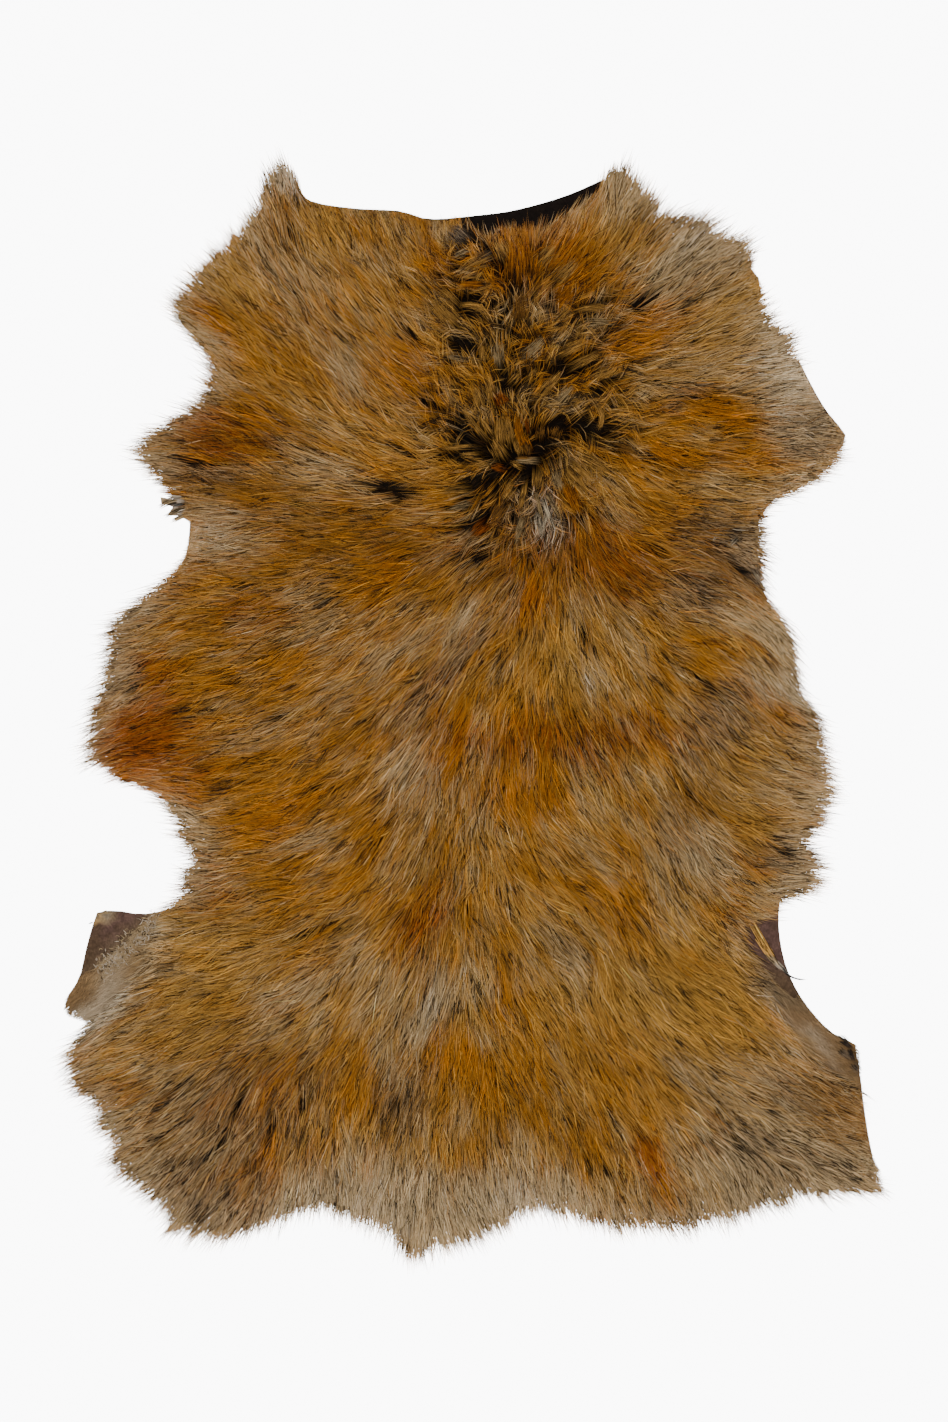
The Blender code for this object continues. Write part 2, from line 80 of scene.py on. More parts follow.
# The outline of the hair, clockwise from the left ear. reach is how far the hair lies past the
# skin's own edge, and 0 is where the skin's cut edge shows.
Edge = namedtuple("Edge", "x y reach")
LEFT_EAR = rows(
    Edge, (257, 203, 8), (264, 186, 12), (273, 172, 16), (285, 165, 20), (296, 168, 14), (299, 183, 6),
)
NECK = rows(
    Edge, (302, 196, 0), (322, 204, 0), (362, 209, 0), (400, 211, 0), (430, 219, 0), (480, 215, 0),
    (515, 210, 0), (562, 197, 0), (597, 182, 0),
)
RIGHT_EAR = rows(
    Edge, (605, 174, 6), (614, 165, 12), (624, 168, 18), (632, 180, 14), (646, 192, 14), (657, 206, 16),
)
RIGHT_SHOULDER = rows(
    Edge, (666, 217, 18), (690, 222, 20), (711, 222, 30), (716, 236, 16), (741, 242, 20), (753, 254, 10),
    (754, 273, 0), (762, 282, 0), (764, 302, 8), (772, 323, 12), (791, 343, 20), (789, 352, 8),
    (797, 357, 0), (812, 386, 0), (826, 410, 0), (840, 427, 0), (847, 440, 0), (839, 456, 6),
    (822, 472, 10), (808, 486, 14), (782, 498, 8), (767, 514, 6),
)
RIGHT_SIDE = rows(
    Edge, (763, 540, 10), (763, 565, 6), (767, 594, 6), (778, 611, 10), (790, 635, 16), (795, 665, 14),
    (799, 692, 14), (815, 713, 24), (821, 745, 26), (827, 780, 28), (825, 808, 28), (808, 832, 16),
    (804, 848, 14), (816, 865, 26), (814, 886, 26), (786, 899, 8),
)
RIGHT_FLANK = rows(
    Edge, (779, 916, 0), (781, 945, 0), (789, 974, 0), (805, 1003, 0), (830, 1031, 0), (854, 1043, 0),
    (860, 1056, 6), (861, 1080, 0), (866, 1120, 0), (872, 1152, 0),
)
TAIL = rows(
    Edge, (880, 1172, 6), (880, 1190, 8), (850, 1191, 10), (818, 1192, 12), (798, 1190, 12),
    (790, 1201, 16), (760, 1204, 18), (735, 1213, 20), (700, 1219, 22), (660, 1224, 22), (610, 1223, 22),
    (580, 1214, 18), (552, 1207, 14), (525, 1209, 16), (500, 1221, 20), (475, 1234, 22), (455, 1241, 22),
    (430, 1247, 24), (414, 1257, 26), (402, 1248, 24), (394, 1230, 20), (365, 1218, 16), (335, 1207, 12),
    (305, 1206, 12), (275, 1219, 16), (235, 1233, 20), (200, 1234, 24), (172, 1224, 22),
)
LEFT_HIP = rows(
    Edge, (161, 1199, 16), (136, 1181, 22), (116, 1160, 22), (116, 1139, 16), (100, 1121, 24),
    (98, 1103, 18), (80, 1088, 20), (74, 1068, 20), (69, 1053, 24), (84, 1035, 16), (86, 1023, 10),
)
LEFT_FLANK = rows(
    Edge, (67, 1015, 6), (65, 1001, 0), (79, 978, 0), (86, 949, 0), (93, 924, 0), (98, 912, 0),
    (120, 911, 0), (142, 914, 0), (168, 909, 0),
)
LEFT_SIDE = rows(
    Edge, (186, 899, 14), (184, 880, 18), (198, 858, 14), (185, 837, 18), (178, 818, 22), (163, 800, 18),
    (142, 784, 12), (118, 778, 0), (104, 768, 12), (92, 757, 24), (92, 733, 26), (98, 705, 24),
    (107, 678, 22), (113, 650, 22), (112, 627, 26), (136, 607, 16), (160, 586, 8), (180, 562, 6),
    (188, 538, 0),
)
# The dried shreds of the left foreleg stick out at the start of this stretch
LEFT_SHOULDER = rows(
    Edge, (190, 522, 0), (176, 515, 0), (166, 515, 0), (173, 507, 0), (158, 502, 0), (158, 497, 0),
    (176, 499, 0), (178, 492, 10), (158, 476, 24), (146, 457, 30), (146, 439, 30), (172, 422, 22),
    (200, 404, 14), (208, 383, 14), (212, 364, 10), (202, 348, 8), (184, 327, 10), (176, 310, 10),
    (184, 294, 10), (205, 266, 10), (232, 239, 8), (246, 221, 8),
)
OUTLINE = (
    LEFT_EAR
    + NECK
    + RIGHT_EAR
    + RIGHT_SHOULDER
    + RIGHT_SIDE
    + RIGHT_FLANK
    + TAIL
    + LEFT_HIP
    + LEFT_FLANK
    + LEFT_SIDE
    + LEFT_SHOULDER
)

# Skin with no coat on it, as closed outlines that run a little past the skin's edge
Point = namedtuple("Point", "x y")
# The neck's lower edge runs down into the hair, where its near-black skin also stands for painted shade
# in the hair's partings
BARE_NECK = rows(
    Point, (452, 210), (474, 227), (492, 232), (502, 226), (522, 226), (546, 226), (562, 217),
    (583, 203), (603, 188), (598, 172), (520, 196),
)
BARE_LEFT_FLANK = rows(
    Point, (80, 905), (150, 900), (158, 913), (141, 924), (124, 943), (108, 956), (94, 968), (76, 972),
)
BARE_RIGHT_FLANK = rows(
    Point, (786, 912), (770, 916), (746, 928), (750, 948), (763, 968), (778, 984), (793, 998),
    (800, 990), (796, 960),
)
BARE_SHREDS = rows(
    Point, (150, 490), (182, 496), (183, 509), (178, 522), (150, 524),
)
BARE_PATCHES = [BARE_NECK, BARE_LEFT_FLANK, BARE_RIGHT_FLANK, BARE_SHREDS]

# Where the long coat stops and short smooth hair covers the skin
SHORT_LEFT_FLANK = rows(
    Point, (158, 913), (152, 940), (144, 965), (126, 992), (104, 1012), (70, 1024), (52, 1006),
    (76, 972), (90, 930), (120, 905),
)
SHORT_RIGHT_FLANK = rows(
    Point, (762, 962), (776, 995), (786, 1022), (804, 1046), (832, 1070), (858, 1084), (872, 1060),
    (862, 1036), (826, 1010), (798, 984), (786, 960),
)
SHORT_PATCHES = [SHORT_LEFT_FLANK, SHORT_RIGHT_FLANK]

# Which way the hair tips point: 0 is to the right and 90 towards the neck
Flow = namedtuple("Flow", "x y degrees")
FLOW_LEFT_NECK = rows(
    Flow, (283, 190, 102), (300, 230, 112), (250, 230, 125), (215, 280, 138), (190, 305, 150),
    (200, 345, 150), (260, 290, 130), (320, 280, 124), (350, 230, 113), (385, 225, 113), (400, 260, 125),
    (435, 225, 97), (380, 290, 128), (430, 300, 135), (320, 340, 130), (260, 350, 138), (225, 370, 145),
    (210, 395, 160), (300, 400, 140), (345, 385, 118), (360, 430, 150), (430, 370, 150), (420, 410, 147),
    (240, 430, 160), (170, 430, 172), (150, 450, 180), (190, 475, 174), (300, 445, 163), (300, 490, 176),
    (390, 480, 165), (440, 450, 170), (220, 520, 180), (300, 520, 180), (400, 520, 178), (195, 545, 180),
)
FLOW_CREST = rows(
    Flow, (462, 235, 97), (500, 232, 88), (525, 240, 103), (470, 260, 198), (480, 285, 185),
    (500, 310, 78), (530, 300, 62), (450, 330, 152), (410, 330, 130), (480, 350, 118), (505, 345, 85),
    (525, 355, 62), (550, 340, 50), (490, 395, 110), (480, 425, 132), (465, 447, 172), (505, 420, 95),
    (530, 425, 80), (540, 400, 32), (575, 385, 28), (600, 400, -5), (470, 475, 195), (450, 500, 185),
    (500, 490, -128), (515, 505, -112), (540, 500, -88), (560, 490, -72), (585, 480, -58),
    (560, 455, -35),
)
FLOW_RIGHT_NECK = rows(
    Flow, (550, 240, 58), (580, 215, 62), (600, 200, 70), (617, 175, 80), (640, 205, 58), (600, 250, 52),
    (570, 290, 48), (650, 250, 50), (690, 235, 42), (715, 228, 35), (740, 250, 30), (700, 270, 40),
    (660, 290, 34), (610, 300, 30), (620, 335, 18), (700, 310, 24), (750, 290, 27), (765, 320, 25),
    (790, 345, 22), (700, 350, 17), (640, 370, 5), (760, 370, 14), (810, 390, 8), (835, 430, -2),
    (760, 410, 2), (700, 400, -2), (640, 410, -14), (700, 440, -4), (780, 450, 0), (800, 480, 2),
    (650, 450, -14), (620, 460, -28), (700, 485, -10), (760, 490, -6), (650, 500, -28), (600, 510, -52),
    (720, 520, -8), (755, 530, 0),
)
FLOW_LEFT_SIDE = rows(
    Flow, (440, 530, 185), (480, 540, 205), (400, 560, 195), (340, 560, 186), (260, 570, 183),
    (180, 570, 184), (450, 570, 222), (400, 600, 222), (350, 600, 204), (280, 610, 196), (200, 620, 188),
    (130, 615, 192), (450, 620, 236), (380, 640, 218), (300, 660, 208), (220, 660, 196), (150, 660, 194),
    (110, 640, 190), (470, 660, 238), (410, 690, 226), (340, 700, 215), (260, 710, 205), (180, 710, 194),
    (120, 700, 205), (95, 735, 205), (110, 755, 198), (180, 760, 190), (250, 770, 198), (330, 760, 215),
    (390, 750, 235), (440, 740, 243), (160, 795, 165), (190, 820, 172), (250, 830, 188), (330, 830, 212),
    (400, 830, 238), (440, 820, 250), (190, 870, 182), (250, 880, 190), (320, 890, 208), (390, 880, 228),
    (430, 880, 245),
)
FLOW_BACK = rows(
    Flow, (500, 560, 228), (530, 560, -100), (555, 580, -85), (585, 570, -62), (520, 600, -105),
    (490, 610, 232), (550, 620, -88), (580, 640, -66), (610, 640, -58), (520, 650, -112),
    (540, 680, -95), (590, 690, -65), (500, 700, -112), (550, 740, -82), (600, 740, -68),
    (480, 760, -100), (530, 780, -92), (580, 790, -62), (470, 810, -98), (520, 830, -62),
    (500, 850, -70), (560, 840, -38), (540, 870, -48),
)
FLOW_RIGHT_SIDE = rows(
    Flow, (620, 560, -40), (660, 545, -12), (700, 560, -14), (740, 565, -32), (760, 590, -35),
    (640, 600, -38), (700, 600, -16), (760, 620, -25), (785, 640, -48), (700, 640, -22), (650, 660, -48),
    (720, 680, -28), (785, 680, -55), (760, 710, -52), (800, 710, -32), (700, 720, -48), (650, 720, -60),
    (620, 760, -64), (700, 770, -55), (760, 760, -28), (810, 740, -18), (820, 780, -12), (760, 800, -18),
    (820, 805, -4), (700, 810, -52), (640, 800, -62), (740, 835, -28), (795, 840, -5), (800, 870, 0),
    (750, 870, -25), (700, 860, -62), (650, 860, -62), (610, 850, -38), (590, 880, -28), (560, 920, -42),
    (620, 920, -62), (680, 900, -60), (740, 890, -32), (780, 900, 0),
)
FLOW_LEFT_RUMP = rows(
    Flow, (200, 910, 188), (160, 930, 188), (250, 940, 194), (320, 940, 210), (380, 930, 222),
    (430, 930, 250), (120, 980, 200), (80, 985, 232), (70, 1008, 225), (110, 1015, 200), (200, 990, 196),
    (280, 1000, 210), (350, 1000, 232), (400, 980, 248), (90, 1050, 206), (62, 1058, 210),
    (150, 1050, 198), (220, 1050, 205), (290, 1060, 222), (350, 1060, 242), (400, 1040, 252),
    (90, 1090, 196), (150, 1100, 203), (200, 1100, 228), (240, 1110, 246), (300, 1110, 258),
    (350, 1110, 262), (120, 1130, 206), (160, 1150, 218), (210, 1160, 236), (260, 1160, 252),
    (310, 1160, 266), (345, 1170, 278), (140, 1180, 212), (180, 1200, 228), (220, 1225, 238),
    (270, 1200, 250), (320, 1195, 268), (370, 1190, 262),
)
FLOW_RIGHT_RUMP = rows(
    Flow, (465, 880, -95), (450, 940, -95), (500, 930, -62), (490, 980, -80), (440, 1000, -98),
    (420, 1050, 252), (460, 1060, -88), (440, 1110, 255), (390, 1120, 255), (400, 1170, 262),
    (440, 1180, -95), (410, 1235, 258), (450, 1230, -70), (475, 1225, -60), (480, 1120, -90),
    (500, 1170, -78), (530, 1190, -80), (540, 980, -58), (520, 1030, -65), (580, 960, -48),
    (600, 990, -80), (590, 1030, -60), (640, 980, -48), (650, 1030, -52), (560, 1080, -62),
    (620, 1090, -55), (520, 1110, -68), (570, 1150, -75), (560, 1195, -76), (610, 1160, -70),
    (610, 1210, -72), (650, 1130, -58), (650, 1200, -65), (690, 1100, -40), (690, 1170, -55),
    (700, 1210, -68), (740, 1190, -70), (790, 1190, -62), (740, 1140, -42), (690, 1040, -38),
    (740, 1060, -28), (740, 1100, -32), (700, 980, -30), (740, 940, -38), (760, 980, -32),
    (790, 1010, -48), (810, 1040, -48), (840, 1050, -30), (800, 1070, -26), (850, 1090, -28),
    (800, 1110, -26), (850, 1130, -20), (800, 1150, -30), (850, 1170, -22), (880, 1188, -30),
)
FLOW_TABLE = (
    FLOW_LEFT_NECK
    + FLOW_CREST
    + FLOW_RIGHT_NECK
    + FLOW_LEFT_SIDE
    + FLOW_BACK
    + FLOW_RIGHT_SIDE
    + FLOW_LEFT_RUMP
    + FLOW_RIGHT_RUMP
)
FLOW_BLUR = 12.0

# Colours of the hair where it catches the light, as display red, green and blue
HAIR_COLOURS = {
    "golden": (170, 124, 52),
    "orange": (164, 94, 6),
    "rust": (136, 64, 0),
    "brown": (122, 80, 24),
    "grey": (178, 152, 112),
    "pale": (218, 200, 172),
    "mauve": (146, 122, 92),
    "black": (30, 22, 18),
}

# How much of each colour comes to the coat's own near its rim
RIM_COLOURS = {"grey": 1.0, "mauve": 0.7, "black": 0.16, "pale": 0.2}

# Patches of each colour: middle, half length, half width, which way the length runs and strength
Patch = namedtuple("Patch", "x y long wide degrees strength")
PATCHES = {
    "pale": rows(
        Patch, (286, 175, 16, 12, 100, 2.0), (206, 532, 24, 18, 180, 0.7), (700, 238, 30, 10, 35, 0.8),
        (800, 380, 44, 24, -62, 1.7), (545, 515, 30, 13, -75, 1.6), (590, 680, 12, 6, -65, 1.0),
        (436, 1008, 14, 7, 262, 0.8), (365, 1216, 80, 34, 0, 1.0), (520, 1204, 40, 14, 0, 1.6),
        (116, 984, 44, 11, 235, 4.0), (801, 1034, 44, 5, -47, 2.4), (800, 690, 12, 50, 90, 0.8),
    ),
    "black": rows(
        Patch, (305, 200, 12, 7, 0, 1.5), (90, 997, 18, 4, 230, 4.0), (824, 1021, 44, 7, -42, 4.0),
        (786, 992, 26, 8, -55, 2.4), (852, 1052, 14, 7, -50, 8.0), (740, 532, 22, 5, 0, 3.0),
        (748, 578, 26, 9, -45, 2.0), (330, 205, 34, 4, -8, 2.0), (400, 214, 40, 4, -6, 1.6),
    ),
    "grey": rows(
        Patch, (285, 262, 60, 38, 120, 1.6), (210, 340, 24, 10, 150, 2.0), (348, 370, 34, 16, 130, 1.6),
        (330, 470, 46, 16, 165, 0.9), (215, 537, 42, 22, 180, 1.6), (635, 192, 28, 18, 60, 2.4),
        (710, 255, 60, 30, 35, 1.8), (800, 380, 50, 34, -62, 2.0), (812, 437, 34, 18, 0, 1.6),
        (520, 505, 30, 10, -105, 1.2), (462, 622, 26, 12, 232, 1.4), (410, 640, 34, 8, 215, 0.8),
        (410, 770, 34, 22, 235, 1.8), (755, 625, 38, 18, -30, 1.6), (700, 850, 44, 22, -50, 1.6),
        (440, 996, 26, 14, 262, 1.3), (410, 1030, 14, 14, 250, 1.8), (395, 1078, 18, 22, 255, 1.6),
        (285, 1000, 44, 20, 215, 1.6), (170, 1130, 60, 60, 225, 0.7), (365, 1212, 84, 40, 0, 3.0),
        (430, 1230, 60, 24, 0, 2.0), (130, 1150, 60, 14, -40, 1.0), (570, 965, 26, 14, -50, 1.8),
        (630, 982, 14, 10, -50, 1.8), (700, 1070, 40, 20, -40, 0.5), (770, 1080, 40, 30, -30, 0.8),
        (350, 650, 60, 40, 200, 0.3), (690, 290, 70, 90, 0, 0.3), (740, 315, 40, 30, 26, 0.5),
        (845, 1105, 44, 26, -75, 2.4), (530, 1198, 50, 22, 0, 3.0), (765, 1172, 56, 34, -20, 3.0),
        (840, 1165, 48, 26, -25, 3.0), (126, 960, 44, 26, 235, 3.5), (150, 960, 12, 34, 60, 1.6),
        (795, 860, 26, 34, 0, 1.8), (805, 790, 18, 60, 90, 2.6), (800, 690, 16, 60, 90, 3.0),
        (440, 1240, 46, 20, 0, 3.0),
    ),
    "golden": rows(
        Patch, (230, 275, 32, 24, 125, 2.0), (320, 230, 28, 22, 110, 1.6), (620, 225, 34, 20, 55, 1.8),
        (730, 315, 36, 22, 26, 2.0), (560, 670, 38, 22, -85, 2.0), (760, 800, 42, 28, -20, 2.0),
        (210, 980, 58, 80, 195, 1.0), (680, 1020, 60, 60, -40, 1.8), (740, 1010, 50, 40, -40, 1.6),
        (620, 1000, 70, 70, -60, 0.9), (280, 330, 110, 110, 0, 0.4),
    ),
    "orange": rows(
        Patch, (208, 315, 24, 12, 150, 2.2), (410, 370, 30, 22, 130, 1.8), (432, 260, 24, 10, 110, 2.0),
        (270, 420, 26, 13, 150, 1.8), (520, 252, 26, 18, 90, 2.2), (580, 275, 34, 20, 50, 1.4),
        (640, 330, 46, 20, 22, 1.4), (725, 410, 34, 16, 0, 1.4), (675, 458, 30, 10, -10, 2.0),
        (750, 458, 34, 12, 0, 1.0), (170, 780, 34, 16, 170, 2.6), (380, 580, 28, 20, 195, 1.8),
        (532, 600, 26, 14, -90, 1.6), (445, 760, 26, 18, 235, 2.2), (515, 795, 44, 18, 0, 1.4),
        (275, 815, 30, 16, 195, 1.8), (765, 705, 30, 14, -45, 1.0), (510, 1000, 26, 16, -65, 1.0),
        (455, 1058, 18, 28, -90, 1.6), (210, 1110, 18, 12, 225, 2.2), (270, 1100, 18, 12, 245, 2.0),
        (270, 1160, 18, 14, 250, 2.2), (625, 920, 34, 26, -60, 0.8), (625, 1050, 34, 24, -55, 0.9),
        (300, 330, 130, 120, 0, 0.35), (280, 740, 150, 160, 0, 0.3), (670, 1192, 20, 14, -65, 1.4),
    ),
    "rust": rows(
        Patch, (215, 435, 42, 22, 165, 3.0), (134, 740, 34, 28, 195, 4.5), (158, 690, 16, 36, 195, 1.6),
        (190, 770, 34, 24, 200, 1.2), (250, 615, 34, 22, 190, 1.0), (532, 600, 26, 14, -90, 1.2),
        (615, 572, 28, 20, -40, 1.6), (555, 740, 125, 20, 0, 1.3), (420, 925, 34, 22, 240, 1.5),
        (655, 1160, 20, 14, -60, 2.0), (370, 540, 160, 46, 175, 0.4), (600, 555, 110, 34, -10, 0.8),
        (530, 250, 50, 34, 0, 0.9), (205, 890, 26, 30, 190, 1.0),
    ),
    "brown": rows(
        Patch, (215, 430, 50, 30, 165, 1.6), (700, 800, 26, 32, -55, 2.0), (225, 1120, 80, 60, 225, 0.8),
        (400, 1105, 34, 26, 258, 1.8), (845, 1105, 44, 26, -75, 5.0), (140, 975, 40, 14, 235, 2.0),
        (78, 992, 22, 10, 230, 5.0), (828, 1038, 44, 12, -42, 3.0), (370, 540, 160, 46, 175, 1.0),
        (300, 700, 90, 170, 200, 0.3), (600, 555, 110, 34, -10, 0.9), (725, 545, 40, 34, -20, 1.2),
        (530, 250, 50, 34, 0, 0.9), (292, 226, 22, 28, 110, 1.8), (210, 480, 50, 16, 172, 1.6),
    ),
    "mauve": rows(
        Patch, (205, 470, 42, 9, 172, 2.2), (725, 245, 40, 20, 35, 1.2), (815, 437, 34, 18, 0, 3.0),
        (690, 395, 14, 8, 0, 2.0), (115, 655, 16, 42, 195, 1.8), (425, 690, 60, 16, 230, 1.0),
        (470, 650, 40, 10, 236, 1.0), (700, 595, 26, 15, -15, 1.8), (715, 730, 26, 30, -45, 1.5),
        (225, 1120, 80, 60, 225, 1.0), (400, 1105, 30, 22, 258, 1.0), (195, 1205, 64, 22, -15, 2.0),
        (700, 1080, 30, 14, -40, 0.8), (790, 1090, 30, 16, -30, 1.2), (765, 1170, 50, 30, -40, 2.0),
        (840, 1165, 48, 26, -25, 2.0), (78, 992, 26, 14, 230, 5.0), (828, 1042, 44, 14, -42, 5.0),
        (790, 996, 30, 11, -55, 6.0), (775, 985, 22, 8, -60, 2.0), (795, 860, 26, 34, 0, 1.8),
        (750, 560, 26, 16, -70, 3.0), (725, 545, 40, 34, -20, 1.0),
    ),
}

# Places where the coat parts, whose sunk hairs are darkened for painted shade and the dark roots that
# show:
# middle, half length, half width, direction and depth
Gap = namedtuple("Gap", "x y long wide degrees depth")
GAPS = rows(
    Gap, (405, 330, 20, 7, 120, 0.9), (450, 320, 9, 5, 150, 0.8), (458, 278, 22, 6, 5, 1.0),
    (466, 296, 20, 6, 5, 1.0), (464, 312, 10, 9, 0, 1.0), (464, 346, 20, 9, 160, 1.0),
    (394, 492, 26, 12, 170, 0.9), (462, 436, 15, 9, 130, 0.9), (474, 484, 28, 7, 190, 1.0),
    (464, 530, 16, 9, 180, 1.0), (470, 560, 14, 20, 90, 0.7), (482, 520, 26, 8, 100, 0.75),
    (372, 486, 22, 7, 165, 0.6), (330, 508, 34, 6, 170, 0.45), (386, 448, 18, 5, 150, 0.5),
    (395, 1105, 16, 8, 258, 0.8), (232, 625, 18, 7, 195, 0.6), (590, 306, 26, 6, 0, 0.9),
    (584, 356, 22, 8, 55, 1.0), (500, 376, 12, 7, 80, 0.9), (512, 392, 12, 6, 50, 1.0),
    (552, 424, 26, 10, 5, 0.75), (600, 424, 14, 9, 0, 0.95), (606, 444, 12, 5, -20, 0.5),
    (540, 452, 20, 3, 15, 0.55), (496, 480, 22, 4, 190, 0.9), (525, 492, 20, 4, -105, 0.9),
    (565, 858, 10, 6, -40, 0.9), (534, 336, 12, 5, 55, 0.5), (605, 385, 16, 6, 10, 0.8),
    (628, 440, 14, 5, -15, 0.45), (556, 362, 18, 5, 45, 0.9), (542, 262, 18, 4, 40, 0.5),
    (504, 310, 10, 4, 80, 0.6), (464, 236, 16, 8, 140, 0.7), (450, 505, 20, 6, 190, 0.7),
    (540, 492, 20, 4, -80, 0.8), (640, 292, 16, 6, 40, 0.5), (560, 300, 24, 4, 40, 0.35),
    (448, 360, 14, 6, 150, 0.7), (452, 400, 14, 5, 150, 0.4), (455, 455, 26, 6, 175, 0.8),
    (600, 470, 22, 5, -30, 0.7), (240, 1102, 28, 4, 248, 0.85), (185, 1082, 16, 5, 220, 0.85),
    (270, 1140, 22, 7, 250, 0.8), (215, 1150, 24, 6, 236, 0.7), (160, 1140, 18, 7, 215, 0.8),
    (130, 1110, 16, 6, 205, 0.6), (300, 1110, 16, 6, 257, 0.6), (370, 1105, 18, 6, 258, 0.6),
    (606, 1143, 11, 3.5, -76, 0.7), (608, 1174, 13, 5, -68, 0.9), (636, 1151, 12, 3.5, -66, 0.65),
    (642, 1175, 12, 3, -66, 0.6), (684, 1182, 11, 3.5, -52, 0.7), (848, 1179, 9, 6, -40, 0.8),
    (814, 1177, 12, 3, -36, 0.75), (826, 1160, 15, 2.5, -30, 0.65), (793, 1167, 12, 3, -42, 0.75),
    (786, 1181, 9, 3, -52, 0.7), (840, 1150, 12, 2.5, -28, 0.6), (580, 1130, 18, 5, -68, 0.6),
    (500, 1150, 18, 6, -80, 0.5), (300, 940, 16, 8, 205, 0.8), (240, 935, 14, 5, 190, 0.6),
    (790, 850, 20, 9, -5, 0.8), (742, 532, 16, 4, 0, 0.7), (745, 576, 24, 6, -42, 0.75),
    (722, 560, 30, 5, -30, 0.5), (700, 600, 24, 5, -16, 0.6), (590, 642, 38, 6, -55, 0.7),
    (705, 685, 30, 7, -40, 0.7), (660, 700, 18, 5, -50, 0.5), (405, 770, 26, 4, 240, 0.5),
    (420, 680, 26, 5, 228, 0.5), (330, 600, 22, 5, 200, 0.5), (205, 462, 40, 5, 173, 0.7),
    (170, 430, 24, 5, 172, 0.5), (245, 262, 24, 5, 128, 0.5), (300, 240, 26, 6, 120, 0.6),
    (350, 350, 16, 5, 130, 0.6), (360, 430, 24, 5, 150, 0.5), (660, 290, 20, 5, 34, 0.6),
    (690, 260, 16, 6, 36, 0.6), (690, 345, 20, 4, 18, 0.5), (690, 400, 22, 6, 0, 0.7),
    (740, 480, 26, 5, -6, 0.5), (650, 520, 22, 5, -30, 0.6), (670, 560, 24, 5, -20, 0.5),
    (745, 1065, 26, 4, -30, 0.45), (800, 1075, 24, 4, -28, 0.4), (845, 1150, 34, 5, -25, 0.5),
    (790, 1172, 26, 5, -60, 0.6), (740, 1150, 24, 6, -45, 0.6), (720, 850, 22, 6, -45, 0.6),
    (690, 790, 24, 7, -55, 0.6), (640, 760, 20, 5, -60, 0.5), (200, 870, 22, 7, 186, 0.6),
    (130, 690, 24, 5, 200, 0.5), (270, 720, 26, 5, 200, 0.5), (500, 960, 20, 5, -70, 0.5),
    (720, 960, 24, 5, -32, 0.5),
)

# Places with short hair
Spot = namedtuple("Spot", "x y radius")
SHORT_PLACES = rows(
    Spot, (186, 512, 20), (730, 538, 16), (812, 400, 26),
)

# The deep tousled hair behind the neck
CREST = rows(
    Spot, (480, 290, 45), (510, 350, 55), (505, 420, 60), (575, 400, 50), (580, 320, 36), (530, 490, 45),
)

# Small streaks scattered over the coat, where hairs sink and are darkened for painted shade and dark
# roots
STREAK_DEPTH = 0.42
STREAK_SIZE = 9

# The even grid on which the pattern's fields are kept, in millimetres
GRID_STEP = 2.0
GRID_LEFT, GRID_TOP = 30.0, 130.0
GRID_COLUMNS, GRID_ROWS = 446, 582

